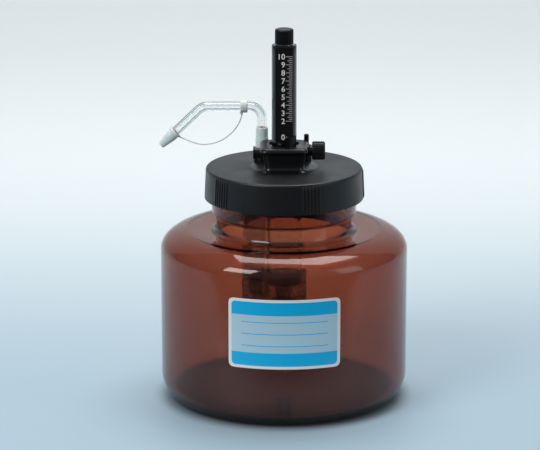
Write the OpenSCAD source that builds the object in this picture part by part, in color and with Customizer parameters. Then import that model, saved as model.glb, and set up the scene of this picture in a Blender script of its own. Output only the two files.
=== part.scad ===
// Bottle-top piston dispenser (piston burette) on its own wide-mouth bottle.
// Millimetres, +Z up, origin at the centre of the bottle's base, nozzle to -X, scale to -Y.

/* [Bottle] */
// Outside diameter of the body
body_d = 141.2; // [125:0.2:170]
// Height of the straight wall, where the shoulder starts
shoulder_z = 87; // [78:1:108]
// How far the rounded shoulder reaches in from the wall
shoulder_run = 20; // [14:1:22]
// How far the rounded shoulder rises
shoulder_rise = 12; // [8:1:16]
// Width of the rounded heel
heel_w = 10.5; // [6:0.5:14]
// Height of the rounded heel
heel_h = 15; // [8:0.5:20]
// Thickness of the body's wall
body_wall = 3.2; // [2.4:0.1:4.5]
// Thickness of the bottle's floor
floor_t = 4; // [3:0.5:6]
// Outside diameter of the neck
neck_d = 82.6; // [76:0.2:99.4]
// Thickness of the neck's wall
neck_wall = 4.6; // [3.4:0.1:6]
// Height of the neck between the shoulder and the rim
neck_h = 29; // [26:1:37]

/* [Label] */
// Width of the label, measured across
label_w = 62; // [40:1:75]
// Height of the label
label_h = 40; // [20:1:48]
// Radius of the label's corners
label_corner = 3.2; // [1:0.2:6]
// Height of the label's lower edge
label_z = 35.4; // [24:0.2:40]
// Thickness of the label
label_t = 0.25; // [0.15:0.05:0.5]

/* [Screw cap] */
// Height of the cap
cap_h = 17.4; // [15:0.2:22]
// Thickness of the cap's top
cap_top_t = 2.2; // [1.6:0.1:3]
// Thickness of the cap's skirt at its lower edge
cap_wall = 2.2; // [1.8:0.1:3.4]
// How much narrower the skirt is at its top
cap_draft = 0.8; // [0:0.1:1.2]
// Groups of grip ribs round the skirt
rib_groups = 5; // [3:1:8]
// Grip ribs in a group
ribs_in_group = 6; // [3:1:8]
// Pitch of the neck thread
thread_pitch = 5; // [4.5:0.1:6]
// Height of the thread ridges
thread_h = 1.5; // [1.2:0.1:1.8]
// Turns of thread on the neck and in the cap
thread_turns = 1.25; // [1:0.05:1.3]
// Thickness of the gasket on the rim
gasket_t = 1.5; // [1:0.1:2.5]

/* [Pump housing] */
// Width of the housing block at its top
block_w = 24.4; // [23:0.1:30]
// How much narrower the block is at its foot
block_taper = 1.8; // [0:0.1:2.4]
// Distance from the plunger's axis to the block's front
block_front = 14.8; // [13:0.1:18]
// Distance from the plunger's axis to the block's back
block_back = 9.7; // [9.5:0.1:14]
// Height of the housing above the cap
block_h = 13.6; // [13.2:0.1:17]
// Height of the flared lip round the block's top
lip_h = 2.4; // [1.6:0.1:3]
// How far the lip stands out from the block
lip_out = 1.4; // [0.6:0.1:2]
// Diameter of the round foot on the cap
foot_d = 39; // [36:0.2:42]
// Diameter of the spigot through the cap
spigot_d = 34; // [33:0.2:35.4]

/* [Pump] */
// Bore of the glass barrel
bore_d = 16.56; // [15.8:0.02:16.8]
// Wall of the glass barrel
barrel_wall = 1.72; // [1.5:0.02:1.9]
// Full delivery in millilitres
capacity_ml = 10; // [5:1:12]
// Length of the piston
piston_h = 10; // [8:0.5:14]
// Gap all round between the plunger sleeve and the barrel's bore
sleeve_gap = 1.21; // [0.8:0.01:1.6]
// Diameter of the rod inside the sleeve
rod_d = 6; // [4:0.5:6]
// Width of the scale plate
plate_w = 9.9; // [8:0.1:10]
// Thickness of the scale plate
plate_t = 0.6; // [0.4:0.1:0.8]
// Sleeve left above the highest mark
sleeve_top = 6; // [5:0.5:12]
// Height of the zero mark above the housing's lip
zero_h = 4.75; // [4:0.05:7]
// Diameter of the knob on top
knob_d = 10.5; // [9:0.1:13]
// Height of the knob on top
knob_h = 8.5; // [6.5:0.1:10]

/* [Valves and tubes] */
// Height of the valve block under the barrel
valve_block_h = 19; // [18.2:0.1:22]
// Diameter of the valve balls
ball_d = 5; // [4.6:0.1:5.2]
// Lift of the valve balls
ball_lift = 1.2; // [0.8:0.1:1.3]
// Outside diameter of the outlet tube beside the barrel
outlet_tube_d = 13.6; // [12:0.1:13.8]
// Outside diameter of the suction tube
suction_d = 8.6; // [8:0.1:10]
// Gap between the suction tube and the bottle's floor
suction_gap = 9; // [5:1:14]

/* [Nozzle] */
// Outside diameter of the glass nozzle
nozzle_d = 5.2; // [4.4:0.1:5.6]
// Bore of the glass nozzle
nozzle_bore = 2.8; // [1.6:0.1:3]
// Outside diameter of the nozzle joint
joint_d = 7.4; // [6.8:0.1:8]
// Height of the nozzle's level run above the housing's lip
nozzle_rise = 18.9; // [17.5:0.1:26]
// Reach from the joint to the corner where the nozzle turns down
nozzle_reach = 34.1; // [28:0.1:40]
// Length of the slanted leg, with its tip cap
nozzle_leg = 33; // [30:0.1:40]
// Slope of the slanted leg below the level
leg_angle = 44; // [35:1:55]

/* [Lock screw and vent] */
// Diameter of the lock screw's knob
lock_knob_d = 10.5; // [9:0.1:11.6]
// Length of the lock screw's knob
lock_knob_l = 7.4; // [6:0.1:9]
// Diameter of the lock screw's thread
lock_d = 4; // [3.6:0.1:4.2]
// Diameter of the vent plug
vent_d = 2.86; // [2.4:0.02:3]
// Height of the vent plug above the housing's lip
vent_up = 2.7; // [2:0.1:6]

/* [Hidden] */

$fn = 64;
eps = 0.01;
run_gap = 0.05;      // radial gap of a running fit
turn_gap = 0.08;     // radial gap of a loose running fit
free_gap = 0.4;      // radial gap between thread crests and walls

// Bottle
body_r = body_d / 2;
neck_r = neck_d / 2;
neck_base_z = shoulder_z + shoulder_rise;
rim_z = neck_base_z + neck_h;
mouth_r = neck_r - neck_wall;
arc_steps = 10;
neck_low_r = neck_r - 2.6;
band_z = neck_base_z + 8.6;

// Cap, gasket and retaining ring
ring_t = 2.4;
cap_in_z = rim_z + gasket_t + ring_t;
cap_top_z = cap_in_z + cap_top_t;
cap_z = cap_top_z - cap_h;
cap_bore_r = neck_r + thread_h + free_gap;
cap_low_r = cap_bore_r + cap_wall;
cap_high_r = cap_low_r - cap_draft;
cap_edge_r = 1.2;
ring_r = neck_r + free_gap / 2;
neck_thread_z = cap_z + 2.9;
cap_thread_z = neck_thread_z - 1.7;
ridge_half = 1.1;
crest_half = 0.4;
rib_step = 2.54;
rib_angle = 19.6;

// Housing
foot_z = cap_top_z + run_gap;
foot_t = 0.8;
lip_z = cap_top_z + block_h;
spigot_r = spigot_d / 2;
spigot_z = cap_top_z - 11;
ring_collar_h = 4;
block_foot_z = foot_z + foot_t - eps;
corner_r = 3.6;

// Barrel and plunger
bore_r = bore_d / 2;
barrel_r = bore_r + barrel_wall;
ml_h = 1000 / (PI * bore_r * bore_r);
stroke = capacity_ml * ml_h;
barrel_top_z = cap_top_z - 2.6;
piston_z = barrel_top_z - 7.4 - piston_h;
barrel_z = piston_z - stroke - 1.2;
sleeve_r = bore_r - sleeve_gap;
sleeve_z = piston_z + piston_h;
zero_z = lip_z + zero_h;
sleeve_top_z = zero_z + stroke + sleeve_top;
plate_y = -sleeve_r + 2.6;
plate_z = zero_z - 2.2;
plate_top_z = sleeve_top_z - 0.9;
plate_half = min(plate_w / 2, sqrt(sleeve_r * sleeve_r - pow(plate_y - plate_t, 2)));
rod_r = rod_d / 2;
rod_tip_r = rod_r - 0.5;
washer_t = 0.45;
knob_z = sleeve_top_z + washer_t + 0.1;
insert_h = 4.4;
bush_gap = 0.1;
bush_wall = 1.38;
bush_r = sleeve_r + bush_gap + bush_wall;
bush_z = block_foot_z + 2.8;
bush_top_z = lip_z - 2;

// Valves
valve_z = barrel_z - 10;
seat_r = 3.15;
seat_hole_r = 1.6;
chamber_r = seat_r + run_gap;
ball_r = ball_d / 2;
ball_sit = sqrt(ball_r * ball_r - seat_hole_r * seat_hole_r) + run_gap;
seat_throat = 0.5;
inlet_seat_z = valve_z + 1.6;
outlet_seat_z = valve_z + 2.9;
outlet_x = -17;
outlet_y = 4;
outlet_r = outlet_tube_d / 2;
outlet_bore_r = 4.6;
outlet_z = outlet_seat_z + 8.4;
lobe_r = outlet_r + 1.5;
gallery_r = 1.5;
drill_r = 1.2;
drill_x = -6.5;
drill_y = 1.5;
suction_r = suction_d / 2;
nipple_r = suction_r - 1.3;
suction_z = floor_t + suction_gap;

// Manifold, the riser through it and the nozzle joint over the riser
manifold_z = spigot_z - 12;
manifold_r = spigot_r;
joint_x = -12.6;
joint_y = 12.2;
joint_r = joint_d / 2;
riser_x = -9.5;
riser_y = 9.2;
gallery_z = spigot_z - 2;
outlet_roof_z = manifold_z + 8;
seal_t = 0.8;
joint_z = lip_z - 5.1;
joint_h = 12;
joint_pin_r = 2.55;
joint_pin_h = 5.6;
joint_lug_r = 4.7;
nozzle_r = nozzle_d / 2;
nozzle_z = joint_z + 5.2;
level_z = lip_z + nozzle_rise;
corner_x = joint_x - nozzle_reach;
bend_r = 7;
leg_bend_r = 8;
tip_cap_l = 11.9;
tip_cap_s = nozzle_leg - tip_cap_l;
taper_s = tip_cap_s + 3.2;
tip_end_s = nozzle_leg - 2.4;
ring_s = 9.9;
ring_w = 3.4;
tie_ring_r = 3.7;

// Screws, plug and vent
screw_ring_r = 13.6;
screw_r = 1.5;
screw_angles = [95, -25, -145];
lock_z = lip_z - 4.2;
lock_r = lock_d / 2;
lock_travel = 0.5;
shoe_tip_x = sleeve_r + bush_gap + lock_travel + 0.03;
shoe_head_x = bush_r + 1;
shoe_end_x = shoe_head_x + 1.6;
boss_x = block_w / 2 + 2.2;
lock_knob_x = boss_x + 1.5;
vent_x = 12.85;
vent_y = 12.2;
vent_shaft_x = 10.3;
vent_shaft_y = 9.8;
vent_r = vent_d / 2;
vent_lug_z = lip_z - 3.6;
vent_z = cap_top_z + 4.6;
plug_y = -1.2;
plug_z = lip_z - 5.2;
plug_x = -block_w / 2 - 4.3;
plug_r = 2.9;

// Route of the tether in the nozzle's plane: offset from the joint, height above the lip
tether_r = 0.4;
tether_route = [[-11.4, 14.2], [-11.9, 12.4], [-12.8, 10], [-14.2, 7.4], [-16.2, 4.6], [-18.9, 2],
    [-22.2, -0.4], [-25.8, -2.1], [-29.6, -3.1], [-33.4, -3.4], [-37.2, -2.9], [-40.8, -1.7],
    [-43.9, -0.4], [-46.7, 0.75]];

// A quarter of an ellipse from angle a0 to a1
function arc_points(cx, cz, rx, rz, a0, a1, n = arc_steps) =
    [for (i = [0 : n]) let (a = a0 + (a1 - a0) * i / n) [cx + rx * cos(a), cz + rz * sin(a)]];

// Bottle profile set in from the outside by w, with the floor at z0
function bottle_profile(w, z0, low_radius, neck_radius, top) = concat(
    [[0, z0]],
    arc_points(body_r - heel_w, heel_h, heel_w - w, heel_h - z0, -90, 0),
    arc_points(body_r - shoulder_run, shoulder_z, shoulder_run - w, shoulder_rise - w, 0, 78),
    [[low_radius + 2.2, neck_base_z - w - 1.6], [low_radius, neck_base_z - w + 0.6],
     [low_radius, band_z - 0.3], [neck_radius, band_z + 0.3], [neck_radius, top], [0, top]]);

// Helical ridge from z0 upwards: root on radius root_r, crest on radius crest_r
module ridge(root_r, crest_r, z0) {
    steps = 44;
    span = thread_turns * 360;
    side = crest_r > root_r ? -1 : 1;
    points = [for (i = [0 : steps])
        let (a = span * i / steps, z = z0 + thread_pitch * a / 360,
             fade = min(1, (i + 0.15) / 4, (steps - i + 0.15) / 4),
             crest = root_r + (crest_r - root_r) * fade,
             half = crest_half * fade, root = ridge_half * (0.4 + 0.6 * fade))
        for (p = [[root_r + side * 0.4, -root], [crest, -half], [crest, half],
                  [root_r + side * 0.4, root]])
            [p[0] * cos(a), p[0] * sin(a), z + p[1]]];
    flip = crest_r > root_r;
    walls = [for (i = [0 : steps - 1], k = [0 : 3])
        let (a = 4 * i + k, b = 4 * i + (k + 1) % 4)
        flip ? [a, b, b + 4, a + 4] : [a, a + 4, b + 4, b]];
    first = flip ? [3, 2, 1, 0] : [0, 1, 2, 3];
    last = [for (k = [0 : 3]) 4 * steps + (flip ? k : 3 - k)];
    polyhedron(points, concat(walls, [first, last]), convexity = 8);
}

// Rectangle with round corners, centred
module rounded(w, h, r) {
    square([w - 2 * r, h], center = true);
    square([w, h - 2 * r], center = true);
    for (x = [-1, 1], y = [-1, 1])
        translate([x * (w / 2 - r), y * (h / 2 - r)]) circle(r);
}

// Flat ring or tube on the Z axis
module tube(r, bore, z, h) {
    translate([0, 0, z]) difference() {
        cylinder(r = r, h = h);
        translate([0, 0, -1]) cylinder(r = bore, h = h + 2);
    }
}

// O-ring on the Z axis
module o_ring(r, thick, z) {
    translate([0, 0, z]) rotate_extrude() translate([r, 0]) circle(thick, $fn = 24);
}

// Rod along +X
module rod_x(r, x, length) {
    translate([x, 0, 0]) rotate([0, 90, 0]) cylinder(r = r, h = length);
}

// Level drilling from one vertical passage to another
module drill(x0, y0, x1, y1, z) translate([x0, y0, z]) rotate([0, 90, atan2(y1 - y0, x1 - x0)])
    cylinder(r = drill_r, h = norm([x1 - x0, y1 - y0]));

// Knob on the Z axis: a drum with n flutes down its side and a chamfer round its top
module fluted_knob(r, h, n, chamfer) difference() {
    rotate_extrude() polygon([[0, 0], [r, 0], [r, h - chamfer], [r - chamfer, h], [0, h]]);
    for (i = [0 : n - 1]) rotate(360 * (i + 0.5) / n)
        translate([r + 0.15, 0, -1]) cylinder(r = 0.4, h = h + 2, $fn = 16);
}

module bottle() color("saddlebrown") {
    difference() {
        union() {
            rotate_extrude($fn = 96) polygon(bottle_profile(0, 0, neck_low_r, neck_r, rim_z));
            ridge(neck_r, neck_r + thread_h, neck_thread_z);
        }
        rotate_extrude($fn = 96) polygon(bottle_profile(body_wall, floor_t, mouth_r, mouth_r, rim_z + 1));
    }
}

module label() color("deepskyblue") intersection() {
    tube(body_r + run_gap + label_t, body_r + run_gap, label_z - 1, label_h + 2);
    translate([0, 0, label_z + label_h / 2]) rotate([90, 0, 0])
        linear_extrude(body_r + 5) rounded(label_w, label_h, label_corner);
}

module cap_gasket() color("whitesmoke") tube(ring_r, mouth_r + 0.6, rim_z, gasket_t);

module screw_cap() color([0.13, 0.14, 0.15]) {
    lean = atan(cap_draft / cap_h);
    difference() {
        union() {
            rotate_extrude($fn = 96) polygon(concat(
                [[0, cap_z], [cap_low_r, cap_z]],
                arc_points(cap_high_r - cap_edge_r, cap_top_z - cap_edge_r, cap_edge_r, cap_edge_r,
                           0, 90, 5),
                [[0, cap_top_z]]));
            for (g = [0 : rib_groups - 1], k = [0 : ribs_in_group - 1])
                rotate(rib_angle - 90 + 360 * g / rib_groups + rib_step * (k - (ribs_in_group - 1) / 2))
                    translate([cap_low_r - 0.15, 0, cap_z + 0.3]) rotate([0, -lean, 0])
                        cylinder(r = 0.5, h = cap_h - cap_edge_r - 0.8, $fn = 16);
        }
        translate([0, 0, cap_z - 1]) cylinder(r = cap_bore_r, h = cap_in_z - cap_z + 1);
        translate([0, 0, cap_z]) cylinder(r = spigot_r + turn_gap, h = cap_h + 1);
    }
    ridge(cap_bore_r, cap_bore_r - thread_h, cap_thread_z);
}

// Rounded plate of the block's outline, set out by grow on all sides
module block_plate(w, grow, z, h) {
    depth = block_front + block_back + 2 * grow;
    translate([0, (block_back - block_front) / 2, z])
        linear_extrude(h) rounded(w + 2 * grow, depth, corner_r, $fn = 32);
}

module pump_housing() color([0.16, 0.17, 0.18]) difference() {
    union() {
        hull() {
            block_plate(block_w - block_taper, -0.3, block_foot_z, 0.4);
            block_plate(block_w, 0, lip_z - lip_h - 1, 0.4);
        }
        hull() {
            block_plate(block_w, 0, lip_z - lip_h - 0.9, 0.3);
            block_plate(block_w, lip_out, lip_z - lip_h, 0.8);
            block_plate(block_w, 0.2, lip_z - 0.3, 0.3);
        }
        translate([0, 0, foot_z]) cylinder(r = foot_d / 2, h = foot_t);
        translate([0, 0, spigot_z]) cylinder(r = spigot_r, h = foot_z - spigot_z + eps);
        translate([joint_x, joint_y, foot_z]) cylinder(r = joint_lug_r, h = joint_z - foot_z);
        translate([riser_x, riser_y, foot_z]) cylinder(r = 3, h = 5);
        translate([vent_x, vent_y, foot_z]) cylinder(r = 2.9, h = vent_lug_z - foot_z);
        translate([vent_shaft_x, vent_shaft_y, foot_z]) cylinder(r = 2.3, h = 4.6);
        translate([0, 0, lock_z]) rod_x(3.6, block_w / 2 - 3, boss_x - block_w / 2 + 3);
    }
    translate([0, 0, spigot_z - 1]) cylinder(r = barrel_r + run_gap, h = barrel_top_z - spigot_z + 2);
    translate([0, 0, barrel_top_z]) cylinder(r = sleeve_r + bush_gap, h = lip_z - barrel_top_z);
    translate([0, 0, bush_z]) cylinder(r = bush_r + 0.02, h = lip_z - bush_z + 1);
    translate([riser_x, riser_y, spigot_z - 1]) cylinder(r = gallery_r, h = foot_z + 4.2 - spigot_z);
    drill(riser_x, riser_y, joint_x, joint_y, foot_z + 2);
    translate([joint_x, joint_y, joint_z - joint_pin_h - 0.3])
        cylinder(r = joint_pin_r + run_gap, h = joint_pin_h + 1);
    translate([joint_x, joint_y, joint_z]) cylinder(r = joint_r + 0.3, h = lip_z);
    translate([vent_shaft_x, vent_shaft_y, spigot_z - 1]) cylinder(r = drill_r + 0.2, h = foot_z + 4.4 - spigot_z);
    drill(vent_shaft_x, vent_shaft_y, vent_x, vent_y, foot_z + 2);
    translate([vent_x, vent_y, foot_z + 0.5]) cylinder(r = drill_r - 0.2, h = vent_z - foot_z);
    translate([vent_x, vent_y, vent_z]) cylinder(r = vent_r + run_gap, h = lip_z);
    translate([0, 0, lock_z]) rod_x(lock_r + run_gap, bush_r - 1, boss_x - bush_r + 2);
    translate([0, plug_y, plug_z]) rod_x(2.4, plug_x, -plug_x - bush_r - 0.8);
    translate([0, plug_y, plug_z]) rod_x(plug_r + 0.15, plug_x, -plug_x - block_w / 2);
    for (a = screw_angles) rotate(a)
        translate([screw_ring_r, 0, spigot_z - 1]) cylinder(r = screw_r + 0.02, h = 9);
}

module retaining_ring() color([0.2, 0.2, 0.21]) {
    tube(ring_r, spigot_r + run_gap, rim_z + gasket_t, ring_t);
    tube(spigot_r + 3.4, spigot_r + run_gap, rim_z + gasket_t - ring_collar_h, ring_collar_h);
}

module manifold() color([0.2, 0.2, 0.21]) difference() {
    union() {
        translate([0, 0, manifold_z]) cylinder(r = manifold_r, h = spigot_z - manifold_z);
        translate([outlet_x, outlet_y, manifold_z]) cylinder(r = lobe_r, h = spigot_z - manifold_z);
    }
    translate([0, 0, manifold_z - 1]) cylinder(r = barrel_r + run_gap, h = 20);
    translate([outlet_x, outlet_y, manifold_z - 1]) cylinder(r = outlet_r + run_gap, h = 9);
    translate([outlet_x, outlet_y, manifold_z]) cylinder(r = gallery_r, h = gallery_z - manifold_z);
    translate([riser_x, riser_y, gallery_z]) cylinder(r = gallery_r, h = 5);
    translate([riser_x, riser_y, spigot_z - 0.9]) cylinder(r = gallery_r + 0.8, h = 2);
    drill(outlet_x, outlet_y, riser_x, riser_y, gallery_z);
    translate([vent_shaft_x, vent_shaft_y, manifold_z - 1]) cylinder(r = drill_r, h = 14);
    for (a = screw_angles) rotate(a) translate([screw_ring_r, 0, manifold_z - 1]) {
        cylinder(r = screw_r + 0.1, h = 14);
        cylinder(r = 2.8, h = 4);
    }
}

module manifold_screws() color("silver") for (a = screw_angles) rotate(a)
    translate([screw_ring_r, 0, manifold_z + 0.4]) {
        difference() {
            cylinder(r = 2.6, h = 2.6);
            translate([0, 0, -1]) cylinder(r = 1.3, h = 2.4, $fn = 6);
        }
        cylinder(r = screw_r, h = spigot_z - manifold_z + 6);
    }

module riser_seal() color("dimgray")
    translate([riser_x, riser_y, spigot_z - 0.45]) rotate_extrude()
        translate([gallery_r + 0.42, 0]) circle(0.36, $fn = 24);

module barrel() color("lightblue", 0.5) tube(barrel_r, bore_r, barrel_z, barrel_top_z - barrel_z);

module barrel_seals() color("dimgray")
    tube(barrel_r - 0.1, bore_r + 0.15, barrel_top_z + 0.02, 0.9);

module guide_bush() color("whitesmoke") difference() {
    tube(bush_r, sleeve_r + bush_gap, bush_z, bush_top_z - bush_z);
    translate([0, 0, lock_z]) rod_x(1.55, 0, bush_r + 1);
}

// Curved pointer standing on the bush beside the scale
module index_tab() color([0.2, 0.2, 0.21]) intersection() {
    tube(bush_r - 0.3, sleeve_r + bush_gap + 0.15, bush_top_z, zero_z + 0.5 - bush_top_z);
    translate([1.1, -20, bush_top_z]) cube([5.7, 20, 30]);
}

module side_plug() color([0.14, 0.15, 0.16]) translate([0, plug_y, plug_z]) {
    rod_x(2.35, -block_w / 2 - 0.2, block_w / 2 - bush_r - 1);
    rod_x(2.6, plug_x, -block_w / 2 - plug_x);
    for (i = [0 : 3]) rod_x(plug_r, plug_x + 0.5 + i, 0.5);
    rod_x(3.7, plug_x - 1.1, 1.2);
}

module valve_block() color([0.2, 0.2, 0.21]) difference() {
    union() {
        translate([0, 0, valve_z]) cylinder(r = barrel_r + 3, h = valve_block_h);
        translate([outlet_x, outlet_y, valve_z]) cylinder(r = lobe_r - 1, h = valve_block_h - 1);
    }
    translate([0, 0, barrel_z]) cylinder(r = barrel_r + run_gap, h = 20);
    translate([0, 0, valve_z - 1]) cylinder(r = 4.35, h = 1 + inlet_seat_z - valve_z);
    translate([0, 0, valve_z]) cylinder(r = chamber_r, h = barrel_z - valve_z - 0.9);
    translate([0, 0, valve_z + 3]) cylinder(r = 1.8, h = 12);
    for (a = [0, 90]) rotate(a + 13)
        translate([-3, -0.6, barrel_z - 1.5]) cube([6, 1.2, 3]);
    translate([drill_x, drill_y, valve_z + 1.3]) cylinder(r = drill_r, h = 20);
    drill(drill_x, drill_y, outlet_x, outlet_y, valve_z + 1.5);
    translate([outlet_x, outlet_y, valve_z + 0.8]) cylinder(r = seat_hole_r, h = 4);
    translate([outlet_x, outlet_y, outlet_seat_z]) cylinder(r = chamber_r, h = 20);
    translate([outlet_x, outlet_y, outlet_z]) cylinder(r = outlet_r + run_gap, h = 20);
}

module inlet_nipple() color([0.2, 0.2, 0.21]) difference() {
    union() {
        translate([0, 0, valve_z - 2.4]) cylinder(r = 6.4, h = 2.35, $fn = 6);
        translate([0, 0, valve_z - 0.1]) cylinder(r = 4.3, h = inlet_seat_z - valve_z + 0.1);
        translate([0, 0, valve_z - 10]) cylinder(r = nipple_r, h = 8);
    }
    translate([0, 0, valve_z - 11]) cylinder(r = seat_hole_r, h = 20);
}

// Ring with a conical seat for a ball
module valve_seat(x, y, z) translate([x, y, z]) rotate_extrude()
    polygon([[seat_hole_r, 0], [seat_r, 0], [seat_r, 1.4], [seat_hole_r + 0.8, 1.4],
             [seat_hole_r, seat_throat]]);

module inlet_seat() color("white") valve_seat(0, 0, inlet_seat_z);

module outlet_seat() color("white") valve_seat(outlet_x, outlet_y, outlet_seat_z);

module inlet_ball() color("lightblue")
    translate([0, 0, inlet_seat_z + seat_throat + ball_sit]) sphere(ball_r);

module outlet_ball() color("lightblue")
    translate([outlet_x, outlet_y, outlet_seat_z + seat_throat + ball_sit]) sphere(ball_r);

// Ring with a crossbar that stops the outlet ball
module outlet_cage() color("white") {
    cage_z = outlet_seat_z + seat_throat + ball_sit + ball_r + ball_lift + 0.15;
    translate([outlet_x, outlet_y, cage_z]) {
        tube(chamber_r - 0.02, 2.4, 0, 1);
        translate([-2.6, -0.5, 0]) cube([5.2, 1, 1]);
    }
}

module suction_tube() color("whitesmoke", 0.7)
    tube(suction_r, nipple_r + 0.02, suction_z, valve_z - 2.6 - suction_z);

module outlet_tube() color("lightblue", 0.5) translate([outlet_x, outlet_y, 0])
    tube(outlet_r, outlet_bore_r, outlet_z + seal_t, outlet_roof_z - outlet_z - 2 * seal_t);

module outlet_seals() color("dimgray") for (z = [outlet_z, outlet_roof_z - seal_t])
    translate([outlet_x, outlet_y, 0]) tube(outlet_r - 0.1, outlet_bore_r, z, seal_t);

module scale_sleeve() color([0.12, 0.12, 0.13]) difference() {
    translate([0, 0, sleeve_z]) cylinder(r = sleeve_r, h = sleeve_top_z - sleeve_z);
    translate([0, 0, sleeve_z - 1]) cylinder(r = rod_r + 0.02, h = sleeve_top_z - sleeve_z + 2);
    translate([-plate_half - 0.05, -sleeve_r - 1, plate_z - 0.05])
        cube([2 * plate_half + 0.1, sleeve_r + 1 + plate_y, sleeve_top_z - plate_z + 1]);
}

module scale_plate() color([0.2, 0.18, 0.18])
    translate([-plate_half, plate_y - plate_t, plate_z])
        cube([2 * plate_half, plate_t, plate_top_z - plate_z]);

module plunger_rod() color("silver") {
    translate([0, 0, piston_z + 1.6]) cylinder(r = rod_r, h = sleeve_top_z - piston_z - 2);
    translate([0, 0, sleeve_top_z - 1]) cylinder(r = rod_tip_r, h = 1 + knob_h - 1.6);
}

ring_zs = [piston_z + 2.2, piston_z + piston_h - 2.2];

module piston() color("white") difference() {
    translate([0, 0, piston_z]) cylinder(r = bore_r - 0.16, h = piston_h);
    translate([0, 0, piston_z + 1.55]) cylinder(r = rod_r + 0.02, h = piston_h);
    for (z = ring_zs) tube(bore_r + 1, bore_r - 1.4, z - 0.85, 1.7);
}

module piston_rings() color("dimgray") for (z = ring_zs)
    o_ring(bore_r - 0.05 - 0.64, 0.62, z);

module top_washer() color("silver") tube(4.6, rod_tip_r + 0.1, sleeve_top_z, washer_t);

module knob_insert() color("goldenrod") tube(3.6, rod_tip_r + run_gap, knob_z, insert_h);

module top_knob() color([0.1, 0.1, 0.11]) difference() {
    translate([0, 0, knob_z]) fluted_knob(knob_d / 2, knob_h, 28, 0.8);
    translate([0, 0, knob_z - 1]) cylinder(r = 3.6 + run_gap, h = insert_h + 1.05);
    translate([0, 0, knob_z]) cylinder(r = rod_tip_r + 0.1, h = knob_h - 1);
}

module lock_shoe() color("whitesmoke") translate([0, 0, lock_z]) {
    rod_x(1.5, shoe_tip_x, shoe_head_x - shoe_tip_x + 0.1);
    rod_x(lock_r - 0.05, shoe_head_x, shoe_end_x - shoe_head_x);
}

module lock_screw() color([0.1, 0.1, 0.11]) translate([0, 0, lock_z]) {
    rod_x(lock_r, shoe_end_x + 0.05, lock_knob_x - shoe_end_x);
    rod_x(3, boss_x + lock_travel + 0.1, lock_knob_x - boss_x - lock_travel);
    translate([lock_knob_x, 0, 0]) rotate([0, 90, 0])
        fluted_knob(lock_knob_d / 2, lock_knob_l, 24, 0.6);
}

module vent_plug() color([0.1, 0.1, 0.11]) translate([vent_x, vent_y, 0]) {
    translate([0, 0, vent_z + 0.05]) cylinder(r = vent_r, h = lip_z + vent_up - 0.6 - vent_z);
    translate([0, 0, lip_z + vent_up - 0.56]) cylinder(r1 = vent_r, r2 = vent_r - 0.6, h = 0.56);
}

module nozzle_joint() color("white") translate([joint_x, joint_y, 0]) difference() {
    union() {
        translate([0, 0, joint_z + 0.05]) cylinder(r = joint_r, h = joint_h - 0.6);
        translate([0, 0, joint_z + joint_h - 0.56]) cylinder(r1 = joint_r, r2 = joint_r - 0.5, h = 0.56);
        translate([0, 0, joint_z - joint_pin_h]) cylinder(r = joint_pin_r, h = joint_pin_h + 0.1);
    }
    translate([0, 0, nozzle_z]) cylinder(r = nozzle_r + 0.02, h = joint_h);
    translate([0, 0, joint_z - joint_pin_h - 1]) cylinder(r = nozzle_bore / 2, h = 20);
    tube(joint_pin_r + 1, joint_pin_r - 0.7, joint_z - 3.4, 1.1);
}

module joint_seal() color("dimgray") translate([joint_x, joint_y, 0])
    o_ring(joint_pin_r - 0.34, 0.33, joint_z - 2.85);

// Puts its children on the slanted leg: Z runs down the leg, X up and to the right of it
module along_leg() translate([corner_x, joint_y, level_z]) rotate([0, -90 - leg_angle, 0]) children();

// Centre line of the nozzle in its own plane: [x, z, heading x, heading z, share of full radius]
function nozzle_path() = concat(
    [[joint_x, nozzle_z, 0, 1, 1]],
    [for (a = [0 : 11.25 : 90]) [joint_x - bend_r + bend_r * cos(a),
        level_z - bend_r + bend_r * sin(a), -sin(a), cos(a), 1]],
    [for (a = [0 : leg_angle / 5 : leg_angle + 0.1])
        [corner_x + leg_bend_r * (tan(leg_angle / 2) - sin(a)),
         level_z - leg_bend_r * (1 - cos(a)), -cos(a), -sin(a), 1]],
    [for (s = [[taper_s, 1], [tip_end_s, 0.5]]) [corner_x - s[0] * cos(leg_angle),
        level_z - s[0] * sin(leg_angle), -cos(leg_angle), -sin(leg_angle), s[1]]]);

// Hollow tube swept along its centre line, with a wall outside, a wall inside and a ring at each end
module nozzle_tube() {
    sides = 28;
    path = nozzle_path();
    n = len(path);
    points = [for (r = [nozzle_r, nozzle_bore / 2], p = path, k = [0 : sides - 1])
        let (c = r * p[4] * cos(360 * k / sides), s = r * p[4] * sin(360 * k / sides))
        [p[0] + c * p[3], joint_y + s, p[1] - c * p[2]]];
    inside = n * sides;
    far = (n - 1) * sides;
    quads = [for (i = [0 : n - 2], k = [0 : sides - 1]) [sides * i + k, sides * i + (k + 1) % sides]];
    outer = [for (q = quads) [q[0], q[1], q[1] + sides, q[0] + sides]];
    inner = [for (q = quads) [for (v = [q[0] + sides, q[1] + sides, q[1], q[0]]) v + inside]];
    rims = [for (k = [0 : sides - 1]) let (a = k, b = (k + 1) % sides)
        each [[b, a, a + inside, b + inside], [a + far, b + far, b + far + inside, a + far + inside]]];
    color("lightblue", 0.5) polyhedron(points, concat(outer, inner, rims), convexity = 6);
}

module tether_ring() color("white") translate([joint_x - ring_s, joint_y, level_z]) {
    difference() {
        union() {
            rod_x(tie_ring_r, -ring_w / 2, ring_w);
            translate([-1.5, 0, -tie_ring_r - 1]) cylinder(r = 0.9, h = 2);
        }
        rod_x(nozzle_r + 0.03, -ring_w, 2 * ring_w);
    }
}

// Unit vector from point a to point b
function heading(a, b) = (b - a) / norm(b - a);

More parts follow.
